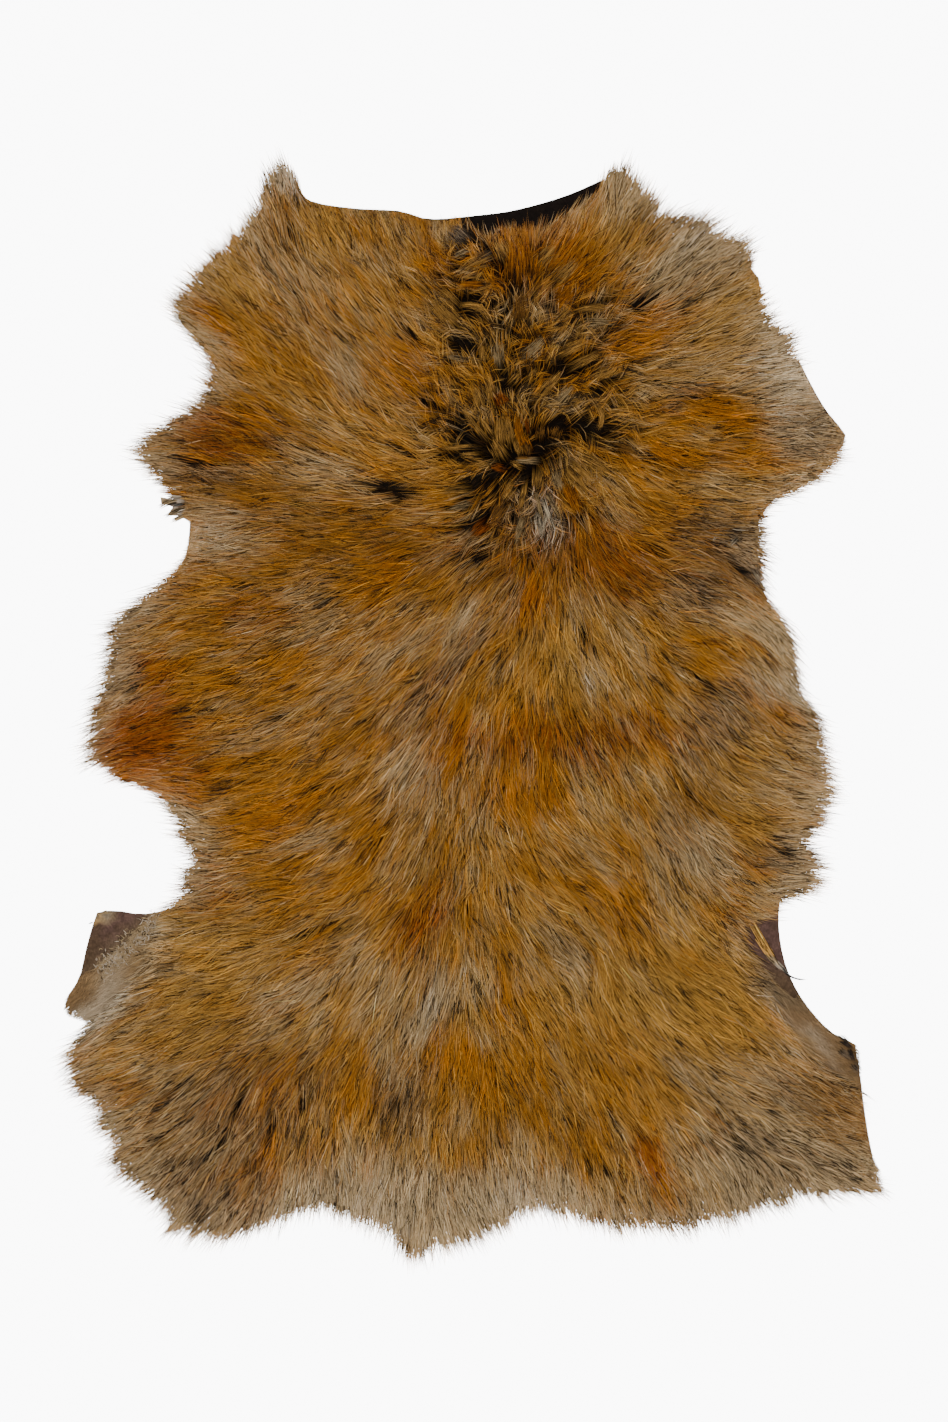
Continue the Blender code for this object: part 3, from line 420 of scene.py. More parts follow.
# Tufts that lie over the coat, most of them on the crest: root, way it points there, length, how
# far it turns, half width at the root and colour
Tuft = namedtuple("Tuft", "x y degrees long turn wide colour")
TUFTS = rows(
    Tuft, (474, 246, 142, 33, 0, 9, "mauve"), (482, 247, 183, 34, 35, 3, "grey"),
    (502, 248, 207, 44, 0, 5, "golden"), (498, 262, 196, 30, 0, 2, "golden"),
    (492, 276, 183, 36, 0, 1.2, "golden"), (500, 284, 185, 45, -10, 4, "orange"),
    (494, 332, 88, 52, 110, 5, "golden"), (503, 320, 84, 24, -20, 1.5, "grey"),
    (518, 300, 92, 60, 0, 10, "orange"), (510, 272, 112, 38, 0, 7, "golden"),
    (530, 274, 48, 40, 0, 7, "golden"), (545, 292, 45, 48, 0, 8, "golden"),
    (520, 338, 90, 46, 0, 9, "brown"), (545, 315, 45, 42, 0, 8, "orange"),
    (548, 332, 48, 36, -10, 6, "golden"), (560, 320, 38, 55, -50, 4, "golden"),
    (572, 324, 8, 45, -15, 4, "grey"), (545, 364, 33, 52, -10, 5, "golden"),
    (556, 377, 34, 52, -10, 5, "golden"), (575, 386, 30, 46, -15, 5, "golden"),
    (510, 368, 36, 48, 10, 7, "grey"), (500, 376, 95, 36, 0, 7, "grey"),
    (484, 374, 94, 32, 0, 4, "golden"), (480, 364, 158, 37, 20, 4, "grey"),
    (472, 338, 136, 55, 0, 8, "golden"), (468, 318, 133, 42, 0, 6, "golden"),
    (486, 418, 112, 36, 0, 5, "golden"), (494, 412, 100, 38, 0, 4, "golden"),
    (508, 414, 115, 26, 0, 8, "rust"), (504, 392, 50, 27, 0, 4, "golden"),
    (522, 386, 52, 24, 0, 3, "golden"), (529, 407, 47, 50, 0, 5, "golden"),
    (545, 413, 43, 42, 0, 5, "grey"), (560, 411, 32, 28, -10, 4, "golden"),
    (579, 397, 8, 50, -135, 3.2, "golden"), (498, 451, 136, 54, -12, 3, "golden"),
    (500, 446, 125, 38, 0, 2.6, "golden"), (503, 460, 100, 46, -10, 5, "golden"),
    (513, 456, 102, 42, 0, 5, "golden"), (522, 456, 98, 44, 0, 5, "orange"),
    (530, 442, 100, 30, 0, 4, "rust"), (493, 447, 179, 54, 5, 2.4, "golden"),
    (492, 457, 174, 34, 5, 4, "golden"), (496, 468, 160, 24, 15, 4, "golden"),
    (514, 475, 150, 26, 20, 5, "rust"), (528, 470, 262, 42, -8, 3.4, "golden"),
    (517, 484, 238, 50, -6, 6, "brown"), (531, 473, -78, 54, 5, 2.6, "grey"),
    (534, 472, -60, 58, 0, 2.6, "grey"), (536, 478, -70, 60, 0, 2.6, "pale"),
    (538, 498, -84, 42, 0, 6, "pale"), (526, 504, -105, 44, 0, 5, "grey"),
    (552, 452, -50, 60, 0, 6, "golden"), (558, 464, -66, 56, 0, 7, "orange"),
    (564, 446, -24, 56, -10, 5, "golden"), (600, 441, -12, 42, -10, 5, "brown"),
    (742, 536, 205, 16, 30, 3, "pale"), (738, 545, 130, 12, 40, 2, "pale"),
    (722, 534, 190, 12, 60, 1.2, "pale"), (748, 556, -64, 32, 10, 6, "mauve"),
    (752, 560, -72, 26, 0, 3, "pale"), (836, 1036, -28, 22, -20, 4, "black"),
    (846, 1044, -60, 20, -10, 4, "black"), (836, 1046, -40, 22, 0, 4, "mauve"),
    (850, 1060, -50, 18, 0, 4, "mauve"), (509, 468, 120, 36, 0, 7, "golden"),
    (528, 460, 104, 30, 0, 7, "orange"), (540, 448, 84, 24, 0, 7, "brown"),
    (552, 444, 70, 20, 0, 7, "brown"), (540, 458, -96, 34, 0, 7, "golden"),
    (520, 472, 240, 34, 0, 6, "golden"), (548, 456, -70, 40, 0, 6, "grey"),
    (560, 452, -40, 44, 0, 6, "golden"), (514, 428, -84, 30, 10, 5, "golden"),
    (524, 432, -78, 26, 0, 4, "brown"), (550, 463, 170, 36, 14, 3.6, "grey"),
    (546, 456, 184, 32, 0, 3, "brown"), (530, 470, 160, 22, 0, 3, "golden"),
    (496, 516, 219, 32, 0, 6, "rust"), (486, 500, 194, 42, 0, 4, "grey"),
    (479, 486, 190, 40, 0, 4, "golden"), (210, 495, 172, 56, 6, 4.0, "orange"),
    (202, 488, 170, 54, 6, 3.6, "brown"), (206, 500, 172, 42, 6, 2.6, "golden"),
)
TUFT_COLOURS = {
    "golden": (154, 112, 52),
    "orange": (150, 88, 14),
    "rust": (124, 62, 6),
    "brown": (112, 74, 26),
    "grey": (146, 120, 80),
    "mauve": (108, 90, 70),
    "pale": (168, 150, 122),
    "black": (52, 42, 34),
}
TUFT_DARK_SHARE = 0.26
TUFT_DENSITY = 0.46
TUFT_LIFT = 2.6
TUFT_WIDTH = 0.56

# Colours of the bare skin, as display red, green and blue
SKIN_COLOURS = {
    "brown": (80, 59, 52),
    "umber": (76, 60, 41),
    "black": (15, 11, 9),
    "tan": (146, 124, 92),
    "pale": (172, 155, 134),
    "ochre": (198, 148, 78),
    "grey": (90, 84, 76),
    "thread": (58, 48, 42),
}
SKIN_PATCHES = {
    "black": rows(
        Patch, (530, 210, 120, 34, 10, 40.0), (330, 210, 150, 20, 0, 10.0), (853, 1050, 12, 8, -50, 3.0),
    ),
    "tan": rows(
        Patch, (103, 916, 9, 5, 10, 5.0), (155, 914, 5, 4, 0, 6.0), (128, 972, 46, 22, 45, 2.0),
        (804, 1034, 44, 6, -46, 1.4), (162, 502, 6, 5, 40, 5.0),
    ),
    "grey": rows(
        Patch, (107, 914, 4, 4, 0, 12.0),
    ),
    "ochre": rows(
        Patch, (97, 918, 4, 5, 90, 2.0),
    ),
    "umber": rows(
        Patch, (88, 955, 8, 26, 160, 2.0), (128, 946, 46, 8, 45, 4.0), (76, 995, 26, 18, 45, 6.0),
        (790, 994, 30, 12, -52, 3.0), (830, 1042, 44, 14, -40, 4.0),
    ),
    "pale": rows(
        Patch, (128, 972, 46, 16, 45, 2.0), (178, 498, 16, 3, 175, 5.0), (182, 512, 12, 4, 160, 4.0),
    ),
    "brown": rows(
        Patch, (774, 946, 22, 5, -64, 3.0), (178, 506, 8, 2, 175, 4.0),
    ),
}

# The skin's faces are small where it shows, and a margin round it, and wide under the long hair
SKIN_STEP = 1.3
SKIN_WIDE_STEP = 26.0
SHOWN_MARGIN = 12.0

# Loose bits on the bare skin: dried fibres, a yellow strip, its frayed end and one thread
FIBRES = rows(
    Tuft, (752, 922, -62, 34, 2, 3.4, "ochre"), (757, 934, -58, 32, 4, 3.8, "ochre"),
    (766, 950, -52, 22, 0, 3.4, "tan"), (774, 960, -48, 16, 10, 3.0, "pale"),
    (780, 964, -50, 18, 0, 2.0, "grey"), (785, 972, -48, 27, 66, 1.0, "thread"),
    (192, 498, 176, 28, 8, 2.0, "pale"), (190, 503, 182, 22, 14, 1.2, "grey"),
    (178, 500, 186, 22, 30, 2.6, "tan"), (186, 507, 196, 26, 20, 2.4, "tan"),
    (192, 511, 176, 22, 40, 1.8, "pale"), (188, 514, 200, 20, 10, 1.6, "tan"),
    (94, 922, 190, 7, 20, 0.6, "black"), (100, 913, 215, 10, 60, 1.6, "tan"),
    (112, 911, 190, 14, 10, 1.2, "tan"), (158, 911, 200, 12, 60, 1.6, "tan"),
    (138, 777, 188, 22, 6, 3.0, "black"),
)
FIBRE_WIDTH = 0.8

# Short curly cracks along the edge of the left flank's short hair: the middle of their band, their
# colours with the share of each, and their number and sizes
CRACKS = rows(
    Point, (160, 918), (146, 932), (131, 944), (115, 958), (100, 970),
)
CRACK_COLOURS = {"tan": 0.6, "pale": 0.28, "black": 0.12}
CRACK_COUNT = 520
CRACK_SPREAD = 5.0
CRACK_LENGTH = 6.0
CRACK_WIDTH = 0.7
CRACK_HEIGHT = 3.2

# Hairs stand in locks, and locks in clumps: how far apart, how many and how far they spread
CLUMP_SPACING = 8.4
LOCKS_IN_CLUMP = 4
HAIRS_IN_LOCK = 6
CLUMP_SPREAD = 6.5
LOCK_SPREAD = 2.6
HAIR_LENGTH = 56.0
HAIR_WIDTH = 0.66
LEAST_LENGTH = 5.0

# How far clumps, locks and hairs turn off the flow and bend, in degrees
CLUMP_TURN = 6.0
LOCK_TURN = 5.0
HAIR_TURN = 4.5
CREST_TURN = 22.0
CREST_BEND = 22.0
BEND = 11.0
WANDER_TURN = 14.0
WANDER_SIZE = 30.0
WANDER_REACH = 60.0

# Steps of a hair's path, and how many pieces the long hair is shared out over
STEPS = 10
PIECES = 4

# Heights of the skin and of the lowest hairs
SKIN_TOP = 2.0
FLOOR_LIFT = 1.0
LIFT_SPREAD = 0.9

# The rim: how far the hair reaches past the skin, and how unevenly its locks and tips end there
BARE_REACH = 7.0
RIM_BAND = 30.0
SKIN_SHARE = 0.8
FAR_TIPS = 0.08
FAR_REACH = (3, 14)
TIP_REACH = 5.0
TIP_LIMIT = 20
LOCK_REACH = 2.8
LOCK_INSET = 3.2
RAGGED = 3.4
RAGGED_SIZE = 12
FRINGE_COUNT = 16000
FRINGE_REACH = 6.0
FRINGE_LIMIT = 18
FRINGE_LENGTHS = (22, 50)
FRINGE_WIDTH = 0.7

# The short hair
SHORT_SPACING = 1.7
SHORT_CROWD = 2.5
SHORT_LENGTH = 13.0
SHORT_DEPTH = 3.0
SHORT_TURN = 13
SHORT_BEND = 20
SHORT_LIGHT = 0.7

# A hair's colour is mixed from the pattern's blend, its lock's pick and its own pick
BLEND_SHARE, LOCK_SHARE, OWN_SHARE = 0.38, 0.25, 0.37
PICK_POWER = 1.5

# How much the brightness of clumps, locks and hairs varies, and the painted light and shade of the coat's
# broad waves
CLUMP_LIGHT, LOCK_LIGHT, HAIR_LIGHT = 0.06, 0.09, 0.29
WAVE_SHADING = 0.12
WAVE_SIZE = 22
WAVE_STRETCH = (0.45, 1.0)

# Dark hairs, standing both for black hairs and for painted shade in the streaks between locks: their
# share of the coat, what the crest and mauve hair add, and how dark they are
DARK_SHARE, DARK_IN_CREST, DARK_IN_MAUVE = 0.13, 0.24, 0.3
DARK_LIGHT = 0.08
# How dark the sunk hairs are painted: partly shade in the coat's partings, partly the dark roots that
# show there
SUNK_LIGHT = 0.06

# Where on a hair its colour is read, and how far into the crest its own strand begins
SEEN_SHARE = 0.65
FRINGE_SEEN_SHARE = 0.8
CREST_FROM = 0.35

# The undercoat's even mesh: a near-black sheet for the dark roots, with the shade deep in the coat
# painted in
UNDERCOAT_STEP = 8.0
UNDERCOAT_COLUMNS = (40, 900)
UNDERCOAT_ROWS = (140, 1280)

# The floor, the light and the camera, in metres
FLOOR_SIZE = 12
FLOOR_DROP = 0.0005
FLOOR_GLOW = 9.0
ROOM_LIGHT = 0.65
LAMP_SIZE = 2.2
LAMP_POWER = 56
LAMP_PLACE = (0.15, -0.15, 2.5)
CAMERA_PLACE = (0.002, 0.0, 3.0)
VIEW_HEIGHT = 1.422

# How each kind of hair runs from root to tip: the share of the length, the width up to the tip,
# the brightness and the height
Strand = namedtuple("Strand", "shares widths tones rises")
COAT_STRAND = Strand([0.0, 0.5, 1.0], [0.9, 1.0], [0.12, 0.8, 1.12], [0.05, 0.95, 0.9])
CREST_STRAND = Strand(
    [0.0, 0.36, 0.7, 1.0], [0.8, 1.0, 0.8], [0.05, 0.26, 0.85, 1.15], [0.05, 0.8, 1.0, 0.92]
)
FRINGE_STRAND = Strand([0.0, 0.5, 1.0], [1.0, 0.9], [0.5, 0.9, 1.0], [0.05, 0.95, 0.9])
SHORT_STRAND = Strand([0.0, 0.5, 1.0], [1.0, 0.9], [0.75, 1.0, 1.05], [0.1, 0.8, 1.0])
FIBRE_STRAND = Strand([0.0, 0.35, 0.7, 1.0], [1.0, 1.0, 0.9], [0.8, 0.9, 1.0, 1.0], [0.0, 0.6, 1.0, 0.4])


def linear(colour):
    """A display colour from 0 to 255 as linear light."""
    share = np.asarray(colour, float) / 255
    return np.where(share <= 0.04045, share / 12.92, ((share + 0.055) / 1.055) ** 2.4)


def smooth_step(values):
    held = np.clip(values, 0, 1)
    return held * held * (3 - 2 * held)


class Field:
    """Values on the pattern's even grid, read anywhere between its points."""

    def __init__(self, values):
        self.values = values.reshape(GRID_ROWS, GRID_COLUMNS, -1)

    def at(self, points):
        columns = np.clip((points[:, 0] - GRID_LEFT) / GRID_STEP, 0, GRID_COLUMNS - 1.001)
        rows = np.clip((points[:, 1] - GRID_TOP) / GRID_STEP, 0, GRID_ROWS - 1.001)
        i, j = rows.astype(int), columns.astype(int)
        down, right = (rows - i)[:, None], (columns - j)[:, None]
        upper = self.values[i, j] * (1 - right) + self.values[i, j + 1] * right
        lower = self.values[i + 1, j] * (1 - right) + self.values[i + 1, j + 1] * right
        found = upper * (1 - down) + lower * down
        return found[:, 0] if found.shape[1] == 1 else found


def grid_points():
    xs = GRID_LEFT + GRID_STEP * np.arange(GRID_COLUMNS)
    ys = GRID_TOP + GRID_STEP * np.arange(GRID_ROWS)
    across, down = np.meshgrid(xs, ys)
    return np.stack([across.ravel(), down.ravel()], 1)


def curve_through(rows, spacing):
    """Points evenly apart along a closed Catmull-Rom curve through rows."""
    knots = np.array(rows, float)
    before, after = np.roll(knots, 1, 0), np.roll(knots, -1, 0)
    beyond = np.roll(knots, -2, 0)
    steps = np.linspace(0, 1, 12, endpoint=False)[None, :, None]
    a, b, c, d = (k[:, None, :] for k in (before, knots, after, beyond))
    fine = 0.5 * (
        2 * b
        + (c - a) * steps
        + (2 * a - 5 * b + 4 * c - d) * steps**2
        + (3 * b - a - 3 * c + d) * steps**3
    )
    fine = fine.reshape(-1, knots.shape[1])
    closed = np.vstack([fine, fine[:1]])
    lengths = np.linalg.norm(np.diff(closed[:, :2], axis=0), axis=1)
    along = np.concatenate([[0], np.cumsum(lengths)])
    at = np.linspace(0, along[-1], round(along[-1] / spacing), endpoint=False)
    return np.stack([np.interp(at, along, column) for column in closed.T], 1)


def inside(points, polygon):
    """Which points lie inside a closed polygon."""
    x, y = points.T
    found = np.zeros(len(x), bool)
    for (x0, y0), (x1, y1) in zip(polygon, np.roll(polygon, -1, 0)):
        crosses = (y0 > y) != (y1 > y)
        if crosses.any():
            where = x0 + (y[crosses] - y0) * (x1 - x0) / (y1 - y0)
            found[crosses] ^= x[crosses] < where
    return found


def distance_to(points, polygon):
    """How far each point lies outside a closed polygon, negative inside, and its nearest corner."""
    best = np.full(len(points), np.inf)
    nearest = np.zeros(len(points), int)
    for i, (start, end) in enumerate(zip(polygon, np.roll(polygon, -1, 0))):
        side = end - start
        along = np.clip((points - start) @ side / max(side @ side, 1e-6), 0, 1)
        gap = np.linalg.norm(points - start - along[:, None] * side, axis=1)
        closer = gap < best
        best[closer] = gap[closer]
        nearest[closer] = i
    best[inside(points, polygon)] *= -1
    return best, nearest


def distance_past(points, covered):
    """How far each grid point lies from the edge of the covered ones, negative on them."""
    table = covered.reshape(GRID_ROWS, GRID_COLUMNS)
    at = points.reshape(GRID_ROWS, GRID_COLUMNS, 2)
    across = table[:, 1:] != table[:, :-1]
    down = table[1:] != table[:-1]
    edge = np.vstack([(at[:, 1:] + at[:, :-1])[across] / 2, (at[1:] + at[:-1])[down] / 2])
    tree = KDTree(len(edge))
    for i, (x, y) in enumerate(edge.tolist()):
        tree.insert((x, y, 0), i)
    tree.balance()
    gaps = np.array([tree.find((x, y, 0))[2] for x, y in points.tolist()])
    return np.where(covered, -gaps, gaps)


def softened(points, values, radius):
    """Values on the grid averaged over a small ring around each point."""
    field = Field(values)
    turns = np.linspace(0, 2 * math.pi, 8, endpoint=False)
    ring = np.stack([np.cos(turns), np.sin(turns)], 1) * radius
    return np.mean([values] + [field.at(points + step) for step in ring], 0)


def flow_field(points):
    mixed = np.zeros((len(points), 2))
    for guide in FLOW_TABLE:
        turn = math.radians(guide.degrees)
        gap = (points[:, 0] - guide.x) ** 2 + (points[:, 1] - guide.y) ** 2
        weight = 1 / (gap + FLOW_BLUR**2) ** 1.6
        mixed += weight[:, None] * np.array([math.cos(turn), -math.sin(turn)])
    return mixed / np.linalg.norm(mixed, axis=1)[:, None]


def near_spots(points, spots):
    near = np.zeros(len(points))
    for spot in spots:
        gaps = np.hypot(points[:, 0] - spot.x, points[:, 1] - spot.y)
        near = np.maximum(near, smooth_step(1.5 - gaps / spot.radius))
    return near


def patch_weight(points, patch):
    """1 in the middle of a long patch, falling off to 0 round it."""
    turn = math.radians(patch.degrees)
    way = np.array([math.cos(turn), -math.sin(turn)])
    gap = points - (patch.x, patch.y)
    along = gap @ way / patch.long
    across = (gap[:, 0] * way[1] - gap[:, 1] * way[0]) / patch.wide
    return np.exp(-((along**2 + across**2) ** 1.3) * 0.8)


def add_patches(weights, names, table, points):
    """Adds each colour's patches to its column of the weights."""
    for colour, patches in table.items():
        for patch in patches:
            weights[:, names.index(colour)] += patch.strength * patch_weight(points, patch)


def strayed(points):
    """Points moved about a little, so that what is read there has an uneven outline."""
    moves = []
    for seed in (21, 22):
        moves.append(9 * noise(points, 34, seed) + 7 * noise(points, 12, seed + 2))
    return points + np.stack(moves, 1)


def noise(points, size, seed):
    """Smooth random values from -1 to 1 that change over a given size."""
    table = np.random.default_rng(seed).uniform(-1, 1, (64, 64))
    at = points / size
    cell = np.floor(at).astype(int)
    part = smooth_step(at - cell)
    x, y = cell.T % 64
    right, down = (x + 1) % 64, (y + 1) % 64
    upper = table[y, x] * (1 - part[:, 0]) + table[y, right] * part[:, 0]
    lower = table[down, x] * (1 - part[:, 0]) + table[down, right] * part[:, 0]
    return upper * (1 - part[:, 1]) + lower * part[:, 1]


def turned(ways, radians):
    """Directions turned anticlockwise on the pattern by their own angles."""
    cos, sin = np.cos(radians), np.sin(radians)
    return np.stack([ways[:, 0] * cos + ways[:, 1] * sin, ways[:, 1] * cos - ways[:, 0] * sin], 1)


def to_world(points, heights):
    x = (points[..., 0] - CENTRE[0]) * MM
    y = (CENTRE[1] - points[..., 1]) * MM
    return np.stack([x, y, heights * MM], -1)


def top_height(node):
    """The upper face of a CAD node over the grid, in millimetres, or 0 where it has none."""
    mesh = node.data
    corners = [v.co for v in mesh.vertices]
    tree = BVHTree.FromPolygons(corners, [tuple(p.vertices) for p in mesh.polygons])
    down = Vector((0, 0, -1))
    starts = to_world(grid_points(), np.full(GRID_ROWS * GRID_COLUMNS, 200.0))
    found = (tree.ray_cast(Vector(start), down)[0] for start in starts)
    return np.array([hit.z / MM if hit else 0.0 for hit in found])


class Pattern:
    """The fields over the pattern that the pieces are laid out with."""

    def __init__(self, frame):
        points = grid_points()
        rim = curve_through(OUTLINE, 6.0)
        outside, nearest = distance_to(points, rim[:, :2])
        reach = rim[nearest, 2]
        bared = np.full(len(points), -np.inf)
        for patch in BARE_PATCHES:
            bare, _ = distance_to(points, np.array(patch, float))
            reach = np.where(-bare > outside, BARE_REACH, reach)
            bared = np.maximum(bared, -bare)
        outside = np.maximum(outside, bared)
        flow = flow_field(points)
        self.skin_edge = Field(outside)
        short = np.full(len(points), np.inf)
        for patch in SHORT_PATCHES:
            short = np.minimum(short, distance_to(points, np.array(patch, float))[0])
        self.short_edge = Field(short)
        reach = np.where(-short > outside, BARE_REACH, reach)
        outside = np.maximum(outside, -short)
        self.outside = Field(outside)
        self.reach = Field(np.maximum(reach, 0))
        self.flow = Field(flow)
        top = top_height(frame["nodes"]["fleece"])
        self.coat = Field(top)
        rounded = softened(points, distance_past(points, top > 0), 2.5)
        self.locks_edge = Field(np.maximum.reduce([rounded, -short, bared]))
        self.crest = Field(near_spots(points, CREST))
        self.short = Field(near_spots(points, SHORT_PLACES))
        half_way = (points + strayed(points)) / 2
        self.gap = self.combed(points, flow, self.gap_depth(half_way), 2.0)
        fringe = smooth_step(1 + outside / RIM_BAND) * smooth_step(reach / 14)
        colours = self.colour_weights(strayed(points), fringe)
        self.colours = self.combed(points, flow, colours, 1.6)

    def combed(self, points, flow, values, stride):
        """Values averaged a little way along the flow, so that they run in streaks."""
        field = Field(values)
        reads = [field.at(points + flow * stride * step) for step in range(-4, 5)]
        return Field(np.mean(reads, 0))

    def gap_depth(self, points):
        # How deeply the coat parts; the hairs that sink there are darkened later with painted shade
        depth = STREAK_DEPTH * smooth_step((noise(points, STREAK_SIZE, 41) - 0.42) / 0.25)
        for gap in GAPS:
            depth = np.maximum(depth, gap.depth * patch_weight(points, gap))
        return depth

    def colour_weights(self, points, fringe):
        names = list(HAIR_COLOURS)
        weights = np.zeros((len(points), len(names)))
        broad = noise(points, 60, 11)
        fine = 0.6 * noise(points, 20, 12) + 0.8 * noise(points, 8, 14)
        weights[:, names.index("golden")] = 0.6
        weights[:, names.index("orange")] = np.clip(0.22 + 0.3 * broad + 0.7 * fine, 0, None)
        weights[:, names.index("grey")] = np.clip(0.16 - 0.3 * broad - 0.7 * fine, 0, None)
        weights[:, names.index("brown")] = np.clip(0.12 + 0.3 * noise(points, 34, 13), 0, None)
        for name, share in RIM_COLOURS.items():
            weights[:, names.index(name)] += share * fringe
        add_patches(weights, names, PATCHES, points)
        return weights / weights.sum(1)[:, None]


def clump_roots(pattern, draw):
    rise = CLUMP_SPACING * math.sqrt(3) / 2
    rows = np.arange(GRID_TOP, GRID_TOP + GRID_STEP * GRID_ROWS, rise)
    columns = np.arange(GRID_LEFT, GRID_LEFT + GRID_STEP * GRID_COLUMNS, CLUMP_SPACING)
    places = np.array([(x + CLUMP_SPACING / 2 * (i % 2), y) for i, y in enumerate(rows) for x in columns])
    places += draw.uniform(-0.45, 0.45, places.shape) * CLUMP_SPACING
    places = places[pattern.outside.at(places) < -1.5]
    reach = pattern.reach.at(places)
    beyond = pattern.outside.at(places) > -SKIN_SHARE * reach
    back = (beyond * reach * draw.uniform(0.7, 1.3, len(places)))[:, None]
    return places - pattern.flow.at(places) * back


def walk(pattern, roots, lengths, turns, bends):
    """Paths that follow the flow from each root, turned and bent by their own angles."""
    paths = [roots]
    for step in range(STEPS):
        share = (step + 0.5) / STEPS
        ways = turned(pattern.flow.at(paths[-1]), turns + bends * share)
        paths.append(paths[-1] + ways * (lengths / STEPS)[:, None])
    return np.stack(paths, 1)


def cut_to_rim(edge, paths, overshoot):
    """The share of each path that stays inside an edge, or within its own overshoot past it."""
    outside = edge.at(paths.reshape(-1, 2)).reshape(paths.shape[:2]) - overshoot[:, None]
    over = outside > 0
    rows = np.arange(len(paths))
    last = np.clip(over.argmax(1) - 1, 0, STEPS - 1)
    inner, outer = outside[rows, last], outside[rows, last + 1]
    part = np.clip(inner / np.minimum(inner - outer, -1e-6), 0, 1)
    return np.where(over.any(1), (last + part) / STEPS, 1) * ~over[:, 0]


def along(paths, shares):
    """Points on each path at its own shares of its length."""
    at = np.clip(shares, 0, 1) * STEPS
    low = np.minimum(at.astype(int), STEPS - 1)
    part = (at - low)[..., None]
    rows = np.arange(len(paths))[:, None]
    return paths[rows, low] * (1 - part) + paths[rows, low + 1] * part


def coat_paths(pattern, draw):
    """The path of each hair with its lock and clump: locks of hairs, and the locks in clumps."""
    clumps = clump_roots(pattern, draw)
    count = len(clumps)
    wild = pattern.crest.at(clumps)
    clump_turns = np.radians(draw.normal(0, 1, count) * (CLUMP_TURN + CREST_TURN * wild))
    clump_bends = np.radians(draw.normal(0, 1, count) * (BEND + CREST_BEND * wild))
    inland = smooth_step(-pattern.outside.at(clumps) / WANDER_REACH)
    wander = np.radians(WANDER_TURN) * inland * noise(clumps, WANDER_SIZE, 61)
    clump_turns += wander
    clump_bends -= wander
    clump_lengths = draw.uniform(0.8, 1.15, count) * (1 - 0.35 * wild)

    owner = np.repeat(np.arange(count), LOCKS_IN_CLUMP)
    locks = clumps[owner] + draw.normal(0, CLUMP_SPREAD / 2, (len(owner), 2))
    lock_turns = clump_turns[owner] + np.radians(draw.normal(0, LOCK_TURN, len(owner)))
    lock_bends = clump_bends[owner] + np.radians(draw.normal(0, BEND / 2, len(owner)))
    lock_lengths = clump_lengths[owner] * draw.uniform(0.85, 1.1, len(owner))

    lock = np.repeat(np.arange(len(owner)), HAIRS_IN_LOCK)
    roots = locks[lock] + draw.normal(0, LOCK_SPREAD, (len(lock), 2))
    keep = pattern.outside.at(roots) < -0.5 * pattern.reach.at(roots)
    lock, roots = lock[keep], roots[keep]
    short = pattern.short.at(roots)
    lengths = HAIR_LENGTH * lock_lengths[lock] * draw.uniform(0.8, 1.05, len(lock))
    lengths *= 1 - 0.62 * short
    turns = lock_turns[lock] + np.radians(draw.normal(0, HAIR_TURN, len(lock)))
    own = walk(pattern, roots, lengths, turns, lock_bends[lock])
    lead = walk(pattern, locks, HAIR_LENGTH * lock_lengths, lock_turns, lock_bends)
    loose = smooth_step(pattern.reach.at(roots) / 12)
    rim = smooth_step(1 + pattern.outside.at(roots) / RIM_BAND) * loose
    gather = (0.4 + 0.12 * pattern.crest.at(roots) + 0.1 * rim) * (1 - short)
    share = smooth_step(np.linspace(0, 1, STEPS + 1))
    own += (lead[lock] - own) * gather[:, None, None] * share[None, :, None]
    at_rim = cut_to_rim(pattern.locks_edge, own, np.zeros(len(lock)))
    tips = along(own, at_rim[:, None])[:, 0]
    overshoot = RAGGED * noise(tips, RAGGED_SIZE, 51)
    overshoot = overshoot + draw.normal(-LOCK_INSET, LOCK_REACH, len(owner))[lock]
    overshoot += draw.exponential(TIP_REACH, len(lock)) - TIP_REACH / 2
    far = draw.uniform(0, 1, len(lock)) < FAR_TIPS
    overshoot += far * draw.uniform(*FAR_REACH, len(lock))
    overshoot = np.minimum(loose * overshoot, TIP_LIMIT) + draw.normal(0.3, 0.6, len(lock))
    shares = cut_to_rim(pattern.locks_edge, own, overshoot)
    ends = shares * draw.uniform(0.95, 1.0, len(lock))
    long_enough = ends * lengths > LEAST_LENGTH
    lock = lock[long_enough]
    return own[long_enough], ends[long_enough], lock, owner[lock]


def coat_heights(pattern, paths, strand, lift, sunk, draw):
    """Heights of each hair along its path: up out of the skin and then over, on the coat's top."""
    flat = paths.reshape(-1, 2)
    top = pattern.coat.at(flat).reshape(paths.shape[:2])
    outside = pattern.outside.at(flat).reshape(paths.shape[:2])
    inland = smooth_step(-outside / 30)
    low = np.where(outside < 0, SKIN_TOP + FLOOR_LIFT, FLOOR_LIFT)
    top = np.maximum(top, low + 0.8)
    rise = np.array(strand.rises)[None, :]
    sway = (lift[:, None] + draw.normal(0, 1.5, len(paths))[:, None]) * rise * inland
    height = low + (top - low) * rise * (1 - 0.55 * sunk)[:, None] + sway
    return np.maximum(height, 0.6)


def sunk_hairs(pattern, seen, lock, clump, draw):
    """The hairs of the locks and clumps that lie low where the coat parts."""
    chance = pattern.gap.at(seen) * 1.4 + 0.08 * pattern.crest.at(seen)
    luck = 0.4 * draw.uniform(0, 1, clump.max() + 1)[clump]
    luck += 0.6 * draw.uniform(0, 1, lock.max() + 1)[lock]
    return luck < chance


